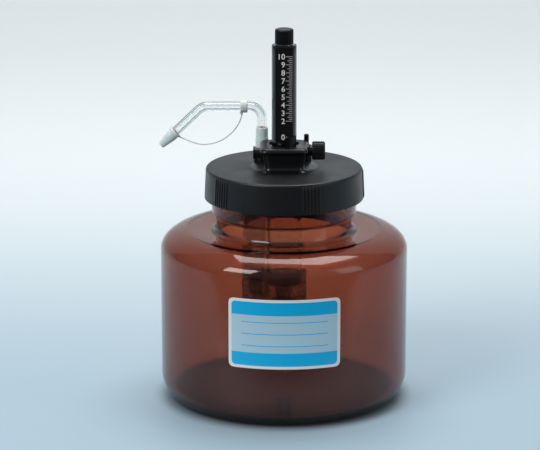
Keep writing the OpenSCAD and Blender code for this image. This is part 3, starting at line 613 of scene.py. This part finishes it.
def ring_like(outline, r):
    """Circle of radius r whose points lie in the same directions from the axis as the outline's."""
    return outline / np.linalg.norm(outline, axis=1)[:, None] * r


def rod(profile, axis, origin, steps=48):
    """Turned surface whose axis points along the given direction from the origin."""
    side = (0, 1, 0) if abs(axis[1]) < 0.5 else (1, 0, 0)
    return placed(turned(np.array(profile, float), full_turn(steps)), side, axis, origin)


def drum(r, z0, z1, edge, hole=None):
    """Profile of a solid or bored cylinder with rounded edges, from its foot to its top."""
    if hole is None:
        return softened([[1e-6, z0], [r, z0], [r, z1], [1e-6, z1]], edge)
    return softened([[hole, z0], [r, z0], [r, z1], [hole, z1], [hole, z0]], edge)


class DISPENSER_OT_housing(Operator):
    """Makes the pump housing: a tapered block with a flared lip and a round foot, and the lugs beside it"""
    bl_idname = "dispenser.housing"
    bl_label = "Pump housing"

    def execute(self, context):
        s = context.scene.dispenser_sizes
        foot_z = CAP_TOP_Z + GAP
        lip_z = LIP_Z - s.lip_height
        levels = [  # height, how far the outline stands out, how far the width tapers in
            (foot_z + 0.8 * MM, 0.9, 0.9), (foot_z + 1.2 * MM, 0.1, 0.9),
            (foot_z + 2.0 * MM, -0.25, 0.85), (foot_z + 3.0 * MM, -0.3, 0.8),
            (lip_z - 1.6 * MM, -0.02, 0.04), (lip_z - 1.0 * MM, 0.1, 0), (lip_z - 0.4 * MM, 0.7, 0),
            (lip_z, 1.3, 0), (lip_z + 0.5 * MM, 1.4, 0), (lip_z + 1.0 * MM, 1.3, 0),
            (LIP_Z - 0.55 * MM, 0.7, 0), (LIP_Z - 0.15 * MM, 0.25, 0), (LIP_Z, -0.25, 0)]
        rows = []
        for z, out, taper in levels:
            out, taper = out * MM, taper * MM
            line = block_outline(s.block_half + out - taper, s.block_front + out, s.block_back + out)
            rows.append(np.column_stack([line, np.full(len(line), z)]))
        line = rows[-1][:, :2]
        sleeve_hole = SLEEVE_R + 0.1 * MM
        throat = [(s.opening_r + 0.3 * MM, LIP_Z), (s.opening_r + 0.08 * MM, LIP_Z - 0.08 * MM),
                  (s.opening_r, LIP_Z - 0.3 * MM), (s.opening_r, LIP_Z - 9.9 * MM),
                  (sleeve_hole, LIP_Z - 9.91 * MM),
                  (sleeve_hole, CAP_TOP_Z - 2.6 * MM), (BARREL_R + GAP, CAP_TOP_Z - 2.62 * MM),
                  (BARREL_R + GAP, SPIGOT_Z), (s.spigot_r - 0.4 * MM, SPIGOT_Z),
                  (s.spigot_r, SPIGOT_Z + 0.4 * MM),
                  (s.spigot_r, foot_z), (s.foot_r - 0.1 * MM, foot_z), (s.foot_r, foot_z + 0.05 * MM),
                  (s.foot_r - 0.3 * MM, foot_z + 0.12 * MM)]
        for r, z in throat:
            ring = ring_like(line, r)
            rows.append(np.column_stack([ring, np.full(len(ring), z)]))
        block = np.stack(rows)
        joint_z = low("nozzle_joint")[2] + 5.6 * MM
        vent = (low("vent_plug") + high("vent_plug")) / 2
        lugs = [
            rod(drum(r * MM, 0, height, 0.5 * MM), (0, 0, 1), (x, y, foot_z)) for r, height, x, y in (
                (4.7, joint_z - foot_z - GAP, JOINT[0], JOINT[1]), (3.0, 5.0 * MM, -9.5 * MM, 9.2 * MM),
                (2.9, LIP_Z - 3.6 * MM - foot_z, vent[0], vent[1]),
                (2.3, 4.6 * MM, 10.3 * MM, 9.8 * MM))]
        lugs.append(rod(drum(3.6 * MM, s.block_half - 3 * MM, s.block_half + 2.2 * MM, 0.4 * MM),
                        (1, 0, 0), (0, 0, LOCK[2])))
        piece = joined("pump_housing_shell", [shell("block", [block], loops=True, sharp=38),
                                              shell("lugs", lugs, sharp=38)])
        fit_out(piece, "head", "housing_plastic", "pump_housing")
        return {"FINISHED"}


# ---------------------------------------------------------------- plunger, scale and knobs

def fluted(profile, flutes, edge_r):
    """Turned profile whose wall is cut by round flutes: at the angle a the radius is less by the root of
    FLUTE^2 - d^2, with d the distance to the nearest flute's middle."""
    angles = full_turn(flutes * 14)
    points = turned(profile, angles)
    pitch = TAU / flutes
    d = np.abs((angles / pitch) % 1 - 0.5) * pitch * edge_r
    cut = FLUTE * np.sqrt(np.clip(1 - (d / FLUTE) ** 2, 0, 1))
    share = np.clip((profile[:, 0] - edge_r * 0.86) / (edge_r * 0.14), 0, 1)[:, None]
    points[..., 0] -= share * cut * np.cos(angles)
    points[..., 1] -= share * cut * np.sin(angles)
    return points


def sleeve_outline(flat_y, half, recessed):
    """Circle of the sleeve, with its front between -half and half either cut back to a flat or left round."""
    side = math.asin(half / SLEEVE_R)
    start = math.degrees(side) - 90
    round_part = arc(0, 0, SLEEVE_R, SLEEVE_R, start, 270 - math.degrees(side), 90)
    x = np.concatenate([[-half], np.linspace(-half, half, 16), [half]])
    y = np.full(len(x), flat_y) if recessed else -np.sqrt(SLEEVE_R ** 2 - x ** 2)
    return np.concatenate([round_part, np.stack([x, y], axis=1)])


class DISPENSER_OT_sleeve(Operator):
    """Makes the plunger's polished sleeve, with the recess that holds the scale plate"""
    bl_idname = "dispenser.sleeve"
    bl_label = "Plunger sleeve"

    def execute(self, context):
        foot, top = low("scale_sleeve")[2], high("scale_sleeve")[2]
        ledge = low("scale_plate")[2] - 0.05 * MM
        half = high("scale_plate")[0] + 0.05 * MM
        flat_y = high("scale_plate")[1]
        whole, cut = sleeve_outline(flat_y, half, False), sleeve_outline(flat_y, half, True)
        bore = 3.02 * MM
        rows = [(ring_like(whole, bore), foot), (whole * 0.96, foot), (whole, foot + 0.4 * MM)]
        rows += [(whole, z) for z in np.linspace(foot + 0.4 * MM, ledge, 9)[1:]]
        rows += [(cut, z) for z in np.linspace(ledge, top - 0.5 * MM, 14)]
        rows += [(cut * 0.985, top - 0.12 * MM), (cut * 0.94, top), (ring_like(whole, bore), top)]
        grid = np.stack([np.column_stack([line, np.full(len(line), z)]) for line, z in rows])
        fit_out(shell("scale_sleeve_shell", [grid], loops=True, sharp=30), "plunger", "sleeve_plastic",
                "scale_sleeve")
        return {"FINISHED"}


class DISPENSER_OT_scale(Operator):
    """Makes the scale: a plate with softened edges, marks every quarter millilitre, and numbers"""
    bl_idname = "dispenser.scale"
    bl_label = "Scale"

    def execute(self, context):
        s = context.scene.dispenser_sizes
        lo, hi = low("scale_plate"), high("scale_plate")
        half, mid = (hi - lo) / 2, (hi + lo) / 2
        w, h, edge = half[0], half[2], 0.12 * MM
        outline = softened([[w, -h], [w, h], [-w, h], [-w, -h]], 0.4 * MM, 5, closed=True)
        outline = divided(np.concatenate([outline, outline[:1]]), 3 * MM)[:-1]

        def level(inset, y):
            """The outline shrunk by an inset, at one depth."""
            line = outline * (1 - inset / np.array([w, h]))
            return np.stack([line[:, 0], np.full(len(line), y), line[:, 1] + mid[2]], axis=1)

        grid = np.stack([level(w, lo[1]) * [0, 1, 0] + [0, 0, mid[2]], level(edge, lo[1]),
                         level(0, lo[1] + edge), level(0, hi[1]), level(0, hi[1]) * [0, 1, 0] + [0, 0, mid[2]]])
        fit_out(shell("scale_plate_strip", [grid]), "plunger", "scale_print", "scale_plate")
        zero_z = LIP_Z + s.zero_above_lip
        quarters = np.arange(8, 41)
        starts = np.where(quarters % 4 == 0, 0.9, np.where(quarters % 2 == 0, 1.8, 2.7)) * MM
        ticks = np.concatenate([[[0, 0.9 * MM]], np.stack([quarters, starts], axis=1)])
        face_y = lo[1] - 0.015 * MM
        marks = []
        for quarter, start in ticks:
            z = zero_z + quarter / 4 * s.millilitre
            bar = softened([[start, -0.1 * MM], [4.65 * MM, -0.1 * MM], [4.65 * MM, 0.1 * MM],
                            [start, 0.1 * MM]], 0.04 * MM, 2, closed=True)
            ys = [lo[1] + 0.05 * MM, face_y]
            line = [np.stack([bar[:, 0], np.full(len(bar), y), bar[:, 1] + z], axis=1) for y in ys]
            centre = line[1].mean(0)
            marks.append(np.stack([line[0], line[1], np.tile(centre, (len(bar), 1))]))
        pieces = [shell("marks", marks)]
        for number in [0] + list(range(2, 11)):
            curve = bpy.data.curves.new("number", "FONT")
            curve.body, curve.align_x, curve.size = str(number), "RIGHT", s.digit / 0.69
            curve.extrude, curve.offset, curve.resolution_u = 0.03 * MM, 0.00005, 3
            shape = bpy.data.objects.new("number", curve)
            context.scene.collection.objects.link(shape)
            mesh = bpy.data.meshes.new_from_object(shape.evaluated_get(context.evaluated_depsgraph_get()))
            bpy.data.objects.remove(shape)
            turn = Matrix.Translation((0.55 * MM, lo[1] + 0.015 * MM,
                                       zero_z + number * s.millilitre - s.digit / 2))
            mesh.transform(turn @ Matrix.Rotation(math.radians(90), 4, "X"))
            digits = bpy.data.objects.new("number", mesh)
            context.scene.collection.objects.link(digits)
            pieces.append(digits)
        piece = joined("scale_marks", pieces)
        fit_out(piece, "plunger", "scale_print", finish="scale_ink")
        return {"FINISHED"}


class DISPENSER_OT_knobs(Operator):
    """Makes the fluted knobs of the plunger and the lock screw, and the vent plug"""
    bl_idname = "dispenser.knobs"
    bl_label = "Knobs and vent plug"

    def execute(self, context):
        lo, hi = low("top_knob"), high("top_knob")
        r, h, hole = hi[0], hi[2] - lo[2], 3.65 * MM
        side = [[hole, 0.05 * MM], [hole, 0], [r - 0.2 * MM, 0], [r, 0.25 * MM], [r, h - 0.9 * MM],
                [r - 0.25 * MM, h - 0.3 * MM], [r - 0.8 * MM, h], [r * 0.55, h], [r * 0.5, h - 0.15 * MM],
                [1e-6, h - 0.2 * MM]]
        inner = [[1e-6, 4.45 * MM], [hole, 4.45 * MM], [hole, 0.05 * MM]]
        profile = np.concatenate([inner, softened(side, 0.25 * MM, 4)[1:]])
        grid = fluted(profile, 28, r) + [0, 0, lo[2]]
        fit_out(shell("top_knob_shell", [grid], sharp=40), "top_knob", "knob_plastic", "top_knob")
        lo, hi = low("lock_screw"), high("lock_screw")
        r, end = hi[1], hi[0]
        start = end - 7.4 * MM
        stem = softened([[1e-6, lo[0]], [2 * MM, lo[0]], [2 * MM, start - 1.5 * MM],
                         [3 * MM, start - 1.4 * MM], [3 * MM, start + 0.1 * MM]], 0.2 * MM, 4)
        drum_side = softened([[3 * MM, start], [r - 0.5 * MM, start], [r, start + 0.5 * MM],
                              [r, end - 0.7 * MM], [r - 0.7 * MM, end], [r * 0.6, end],
                              [r * 0.5, end - 0.2 * MM], [1e-6, end - 0.25 * MM]], 0.25 * MM, 4)
        grid = fluted(np.concatenate([stem, drum_side]), 24, r)
        grid = placed(grid, (0, 1, 0), (1, 0, 0), (0, 0, LOCK[2]))
        fit_out(shell("lock_screw_shell", [grid], sharp=40), "lock_screw", "knob_plastic", "lock_screw")
        lo, hi = low("vent_plug"), high("vent_plug")
        mid = (lo + hi) / 2
        pin = rod(softened([[1e-6, 0], [hi[0] - mid[0], 0], [hi[0] - mid[0], hi[2] - lo[2] - 0.55 * MM],
                            [hi[0] - mid[0] - 0.6 * MM, hi[2] - lo[2]], [1e-6, hi[2] - lo[2]]], 0.3 * MM),
                  (0, 0, 1), (mid[0], mid[1], lo[2]))
        fit_out(shell("vent_plug_pin", [pin]), "vent_plug", "knob_plastic", "vent_plug")
        return {"FINISHED"}


# ---------------------------------------------------------------- nozzle, tip cap and tether

def nozzle_line(s):
    """Centre line of the nozzle: up the joint, a quarter circle, a level run, a second bend, the leg."""
    corner_x = JOINT[0] - s.reach
    leg_start = s.leg_bend_r * math.tan(s.leg_slope / 2)
    down = np.array([-math.cos(s.leg_slope), -math.sin(s.leg_slope)])
    first = arc(JOINT[0] - s.bend_r, LEVEL_Z - s.bend_r, s.bend_r, s.bend_r, 0, 90, 22)
    second = arc(corner_x + leg_start, LEVEL_Z - s.leg_bend_r, s.leg_bend_r, s.leg_bend_r, 90,
                 90 + math.degrees(s.leg_slope), 14)
    foot = np.array([[JOINT[0], low("nozzle_tube")[2]]])
    end = np.array([corner_x, LEVEL_Z]) + (s.leg - 2.4 * MM) * down
    line = divided(np.concatenate([foot, first, second, [end]]), 1.0 * MM)
    return np.stack([line[:, 0], np.full(len(line), JOINT[1]), line[:, 1]], axis=1)


def leg_frame(s):
    """Origin and axes of the slanted leg: its axis runs down the leg from the corner."""
    down = (-math.cos(s.leg_slope), 0, -math.sin(s.leg_slope))
    return (0, 1, 0), down, (JOINT[0] - s.reach, JOINT[1], LEVEL_Z)


class DISPENSER_OT_nozzle(Operator):
    """Makes the drawn glass nozzle, its white joint, the ring that ties the tether to it and the tip cap"""
    bl_idname = "dispenser.nozzle"
    bl_label = "Nozzle"

    def execute(self, context):
        s = context.scene.dispenser_sizes
        line = nozzle_line(s)
        along = np.concatenate([[0], np.cumsum(np.linalg.norm(np.diff(line, axis=0), axis=1))])
        taper = np.clip((along[-1] - along) / (6.3 * MM), 0, 1)
        share = 0.5 + 0.5 * taper
        outer = swept(line, NOZZLE_R * share, 32)
        inner = swept(line, s.nozzle_bore * share, 32)[::-1]
        fit_out(shell("nozzle_glass", [np.concatenate([outer, inner])], loops=True, sharp=50), "nozzle",
                "clear_glass", "nozzle_tube")
        lo, hi = low("nozzle_joint"), high("nozzle_joint")
        r, foot, top, bore = hi[0] - JOINT[0], 5.6 * MM, hi[2] - lo[2], NOZZLE_R + 0.03 * MM
        nozzle_foot = low("nozzle_tube")[2] - lo[2]
        profile = softened([[1.4 * MM, 0], [2.55 * MM, 0], [2.55 * MM, foot], [r, foot + 0.05 * MM],
                            [r, foot + 5.6 * MM], [r - 0.18 * MM, foot + 6.0 * MM],
                            [r - 0.18 * MM, top - 0.7 * MM],
                            [r - 0.55 * MM, top], [bore, top], [bore, nozzle_foot],
                            [1.4 * MM, nozzle_foot]], 0.25 * MM, 4, closed=True)
        joint = turned(profile, full_turn(56)) + [JOINT[0], JOINT[1], lo[2]]
        fit_out(shell("nozzle_joint_sleeve", [joint], loops=True, sharp=40), "nozzle", "white_ptfe",
                "nozzle_joint", finish="joint_white")
        lo, hi = low("tether_ring"), high("tether_ring")
        ring_r, half = hi[2] - LEVEL_Z, (hi[0] - lo[0]) / 2
        profile = softened([[bore, -half], [ring_r, -half], [ring_r, half], [bore, half]], 0.7 * MM, 6,
                           closed=True)
        ring = placed(turned(profile, full_turn(56)), (0, 1, 0), (1, 0, 0),
                      ((lo[0] + hi[0]) / 2, JOINT[1], LEVEL_Z))
        stub_x = (lo[0] + hi[0]) / 2 - 1.5 * MM
        stub = rod(drum(0.9 * MM, lo[2], lo[2] + 2 * MM, 0.35 * MM), (0, 0, 1), (stub_x, JOINT[1], 0), 24)
        piece = joined("tether_ring_clip", [shell("ring", [ring], loops=True), shell("stub", [stub])])
        fit_out(piece, "nozzle", "soft_white", "tether_ring")
        start, end = s.leg - 11.9 * MM, s.leg
        tip_r, gap = NOZZLE_R / 2, 0.08 * MM
        corners = [[NOZZLE_R + gap, start], [NOZZLE_R + 1.2 * MM, start],
                   [NOZZLE_R + 1.2 * MM, start + 1.2 * MM],
                   [NOZZLE_R + 0.7 * MM, start + 1.25 * MM], [NOZZLE_R + 0.7 * MM, start + 4.4 * MM],
                   [tip_r + 0.6 * MM, end], [1e-6, end]]
        inside = [[1e-6, end - 1.8 * MM], [tip_r + gap, end - 1.8 * MM], [tip_r + gap, end - 2.4 * MM],
                  [NOZZLE_R + gap, start + 3.2 * MM + gap], [NOZZLE_R + gap, start]]
        profile = np.concatenate([softened(corners, 0.45 * MM, 5), np.array(inside)])
        x_axis, z_axis, origin = leg_frame(s)
        cap = placed(turned(divided(profile, 1.5 * MM), full_turn(48)), x_axis, z_axis, origin)
        lug_at = np.array(origin) + (start + 0.6 * MM) * np.array(z_axis)
        up_side = np.array([-math.sin(s.leg_slope), 0, math.cos(s.leg_slope)])
        lug = rod(drum(0.5 * MM, -1.7 * MM - NOZZLE_R, -0.7 * MM - NOZZLE_R, 0.2 * MM), tuple(up_side),
                  tuple(lug_at), 20)
        piece = joined("tip_cap_shell", [shell("cap", [cap]), shell("lug", [lug])])
        fit_out(piece, "tip_cap", "soft_white", "tip_cap")
        return {"FINISHED"}


# Route of the tether in the nozzle's plane, in millimetres: offset from the joint, height above the lip
TETHER_ROUTE = [(-11.4, 14.2), (-11.9, 12.4), (-12.8, 10), (-14.2, 7.4), (-16.2, 4.6), (-18.9, 2),
                (-22.2, -0.4), (-25.8, -2.1), (-29.6, -3.1), (-33.4, -3.4), (-37.2, -2.9), (-40.8, -1.7),
                (-43.9, -0.4), (-46.7, 0.75)]


def smooth_route(points, steps):
    """Catmull-Rom curve through the points: between p1 and p2 it is
    (2 p1 + (p2 - p0) t + (2 p0 - 5 p1 + 4 p2 - p3) t^2 + (3 p1 - p0 - 3 p2 + p3) t^3) / 2."""
    p = np.concatenate([[2 * points[0] - points[1]], points, [2 * points[-1] - points[-2]]])
    p0, p1, p2, p3 = (p[i:len(p) - 3 + i, None] for i in range(4))
    t = np.linspace(0, 1, steps, endpoint=False)[None, :, None]
    curve = (2 * p1 + (p2 - p0) * t + (2 * p0 - 5 * p1 + 4 * p2 - p3) * t ** 2
             + (3 * p1 - p0 - 3 * p2 + p3) * t ** 3) / 2
    return np.concatenate([curve.reshape(-1, points.shape[1]), points[-1:]])


class DISPENSER_OT_tether(Operator):
    """Makes the tether: a thin round strap that hangs from the ring to the tip cap"""
    bl_idname = "dispenser.tether"
    bl_label = "Tether"

    def execute(self, context):
        s = context.scene.dispenser_sizes
        flat = smooth_route(np.array(TETHER_ROUTE) * MM, 5)
        path = np.stack([JOINT[0] + flat[:, 0], np.full(len(flat), JOINT[1]), LIP_Z + flat[:, 1]], axis=1)
        tube = swept(path, s.tether_r, 12)
        ends = [np.tile(path[0], (1, 12, 1)), np.tile(path[-1], (1, 12, 1))]
        piece = shell("tether_strap", [np.concatenate([ends[0], tube, ends[1]])], sharp=60)
        piece.data.materials.append(finish_of("soft_white"))
        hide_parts("tether")
        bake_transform(piece)
        return {"FINISHED"}


# ---------------------------------------------------------------- pieces kept from the frame

KEPT = {
    "white_ptfe": ["cap_gasket", "guide_bush", "piston", "inlet_seat", "outlet_seat", "outlet_cage",
                   "lock_shoe"],
    "inner_plastic": ["retaining_ring", "manifold", "valve_block", "inlet_nipple"],
    "housing_plastic": ["side_plug", "index_tab"],
    "steel": ["manifold_screws", "plunger_rod", "top_washer"],
    "brass": ["knob_insert"],
    "seal_rubber": ["riser_seal", "barrel_seals", "outlet_seals", "piston_rings", "joint_seal"],
    "clear_glass": ["barrel", "inlet_ball", "outlet_ball"],
    "clear_tube": ["suction_tube", "outlet_tube"],
}


class DISPENSER_OT_kept(Operator):
    """Gives the pieces that keep their own shape their finishes: inner works, seals and fasteners"""
    bl_idname = "dispenser.kept"
    bl_label = "Inner pieces"

    def execute(self, context):
        for slot, names in KEPT.items():
            for name in names:
                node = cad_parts[name]
                node.data.materials.clear()
                node.data.materials.append(finish_of(slot))
        return {"FINISHED"}


# ---------------------------------------------------------------- stage

LIGHTS = (  # name, place, size, watts, tint
    ("key_softbox", (-0.75, -0.75, 0.85), (0.6, 0.6), 8, (1, 0.99, 0.97)),
    ("top_softbox", (0.1, 0.35, 1.25), (1.0, 0.7), 10, (1, 1, 1)),
    ("fill_right", (1.0, -0.5, 0.5), (0.5, 0.8), 1.5, (1, 1, 1)))
LIGHT_TARGET = (0, 0, 0.1)
CAMERA_AIM = (-8 * MM, 0, 99.7 * MM)
CAMERA_AWAY = 1.7                       # metres from its aim
CAMERA_SLOPE = math.radians(14.8)       # how far it looks down
CAMERA_LENS = 198                       # millimetres, on a sensor 36 mm wide


def area_light(name, place, size, watts, tint):
    """A rectangular soft light at a place, turned to face the light target."""
    light = bpy.data.lights.new(name, "AREA")
    light.shape, light.size, light.size_y, light.energy, light.color = "RECTANGLE", *size, watts, tint
    lamp = bpy.data.objects.new(name, light)
    lamp.location = place
    lamp.rotation_euler = (Vector(LIGHT_TARGET) - Vector(place)).to_track_quat("-Z", "Y").to_euler()
    bpy.context.scene.collection.objects.link(lamp)
    return lamp


class DISPENSER_OT_stage(Operator):
    """Makes the pale floor that curves up into a backdrop, with a shadow painted under the bottle, the soft
    studio lights and the camera
    """
    bl_idname = "dispenser.stage"
    bl_label = "Stage, lights and camera"

    def execute(self, context):
        c = context.scene.dispenser_colours
        material, tree, shader, where = start_material("paper_backdrop", {"Roughness": 0.5})
        parts = add_node(tree, "SeparateXYZ", inputs={0: where})
        back = add_node(tree, "MapRange", {"interpolation_type": "SMOOTHERSTEP"}, {
            "Value": parts.outputs["Y"], "From Min": -0.15, "From Max": 0.75})
        tone = mixed(tree, back.outputs[0], tuple(c.ground), tuple(c.backdrop))
        # Painted shadow: under the bottle and a little past its edge, the floor's colour and glow are darkened
        # to near black, where no light reaches
        reach = add_node(tree, "VectorMath", {"operation": "LENGTH"}, {0: where})
        under = add_node(tree, "MapRange", {"interpolation_type": "SMOOTHSTEP"}, {
            "Value": reach.outputs["Value"], "From Min": BODY_R - 12 * MM, "From Max": BODY_R + 6 * MM,
            "To Min": 0.015, "To Max": 1.0})
        # In front of the camera's view the floor is dark, so that glass and plastic mirror a dark room
        front = add_node(tree, "MapRange", {"interpolation_type": "SMOOTHSTEP"}, {
            "Value": parts.outputs["Y"], "From Min": -0.22, "From Max": -0.12, "To Min": 0.03, "To Max": 1.0})
        dim = maths(tree, "MULTIPLY", under.outputs[0], front.outputs[0])
        shade = add_node(tree, "VectorMath", {"operation": "SCALE"},
                         {0: tone, 3: dim})
        tree.links.new(shade.outputs[0], shader.inputs["Base Color"])
        tree.links.new(shade.outputs[0], shader.inputs["Emission Color"])
        shader.inputs["Emission Strength"].default_value = 0.26
        run = np.concatenate([[[-2.2, -0.0004]], [[1.0, -0.0004]], arc(1.0, 0.7996, 0.8, 0.8, -90, 0, 24)[1:],
                              [[1.8, 2.6]]])
        x = np.linspace(-2.4, 2.4, 9)
        grid = np.stack([np.broadcast_to(x[None], (len(run), 9)), np.repeat(run[:, :1], 9, 1),
                         np.repeat(run[:, 1:], 9, 1)], axis=-1)
        faces = grid_faces(len(run), 9).reshape(len(run) - 1, 9, 4)[:, :-1].reshape(-1, 4)
        mesh = bpy.data.meshes.new("backdrop")
        mesh.from_pydata(grid.reshape(-1, 3).tolist(), [], faces.tolist())
        mesh.shade_smooth()
        mesh.materials.append(material)
        backdrop = bpy.data.objects.new("backdrop", mesh)
        context.scene.collection.objects.link(backdrop)
        world = bpy.data.worlds.new("studio")
        world.use_nodes = True
        world.node_tree.nodes["Background"].inputs[0].default_value = linear("DCE8F0")
        world.node_tree.nodes["Background"].inputs[1].default_value = 0.26
        context.scene.world = world
        context.scene.view_settings.view_transform = "Standard"
        for light in LIGHTS:
            area_light(*light)
        camera = bpy.data.objects.new("camera", bpy.data.cameras.new("camera"))
        camera.data.lens, camera.data.sensor_width = CAMERA_LENS, 36
        camera.data.clip_start, camera.data.clip_end = 0.05, 20
        back = Vector((0, -math.cos(CAMERA_SLOPE), math.sin(CAMERA_SLOPE)))
        camera.location = Vector(CAMERA_AIM) + CAMERA_AWAY * back
        camera.rotation_euler = (-back).to_track_quat("-Z", "Y").to_euler()
        context.scene.collection.objects.link(camera)
        context.scene.camera = camera
        return {"FINISHED"}


class DISPENSER_PT_panel(Panel):
    """Lists the operators that build the dispenser"""
    bl_idname = "DISPENSER_PT_panel"
    bl_label = "Bottle-top dispenser"
    bl_space_type = "VIEW_3D"
    bl_region_type = "UI"
    bl_category = "Dispenser"

    def draw(self, context):
        for operator in OPERATORS:
            self.layout.operator(operator.bl_idname)


OPERATORS = (DISPENSER_OT_stage, DISPENSER_OT_nozzle, DISPENSER_OT_tether, DISPENSER_OT_bottle,
             DISPENSER_OT_label, DISPENSER_OT_cap, DISPENSER_OT_housing, DISPENSER_OT_sleeve,
             DISPENSER_OT_scale, DISPENSER_OT_knobs, DISPENSER_OT_kept)
CLASSES = (DispenserSizes, DispenserColours, *OPERATORS, DISPENSER_PT_panel)


def register():
    for cls in CLASSES:
        bpy.utils.register_class(cls)
    bpy.types.Scene.dispenser_sizes = PointerProperty(type=DispenserSizes)
    bpy.types.Scene.dispenser_colours = PointerProperty(type=DispenserColours)


def unregister():
    del bpy.types.Scene.dispenser_colours
    del bpy.types.Scene.dispenser_sizes
    for cls in reversed(CLASSES):
        bpy.utils.unregister_class(cls)


def main():
    register()
    for operator in OPERATORS:
        group, name = operator.bl_idname.split(".")
        getattr(getattr(bpy.ops, group), name)()


if __name__ == "__main__":
    main()
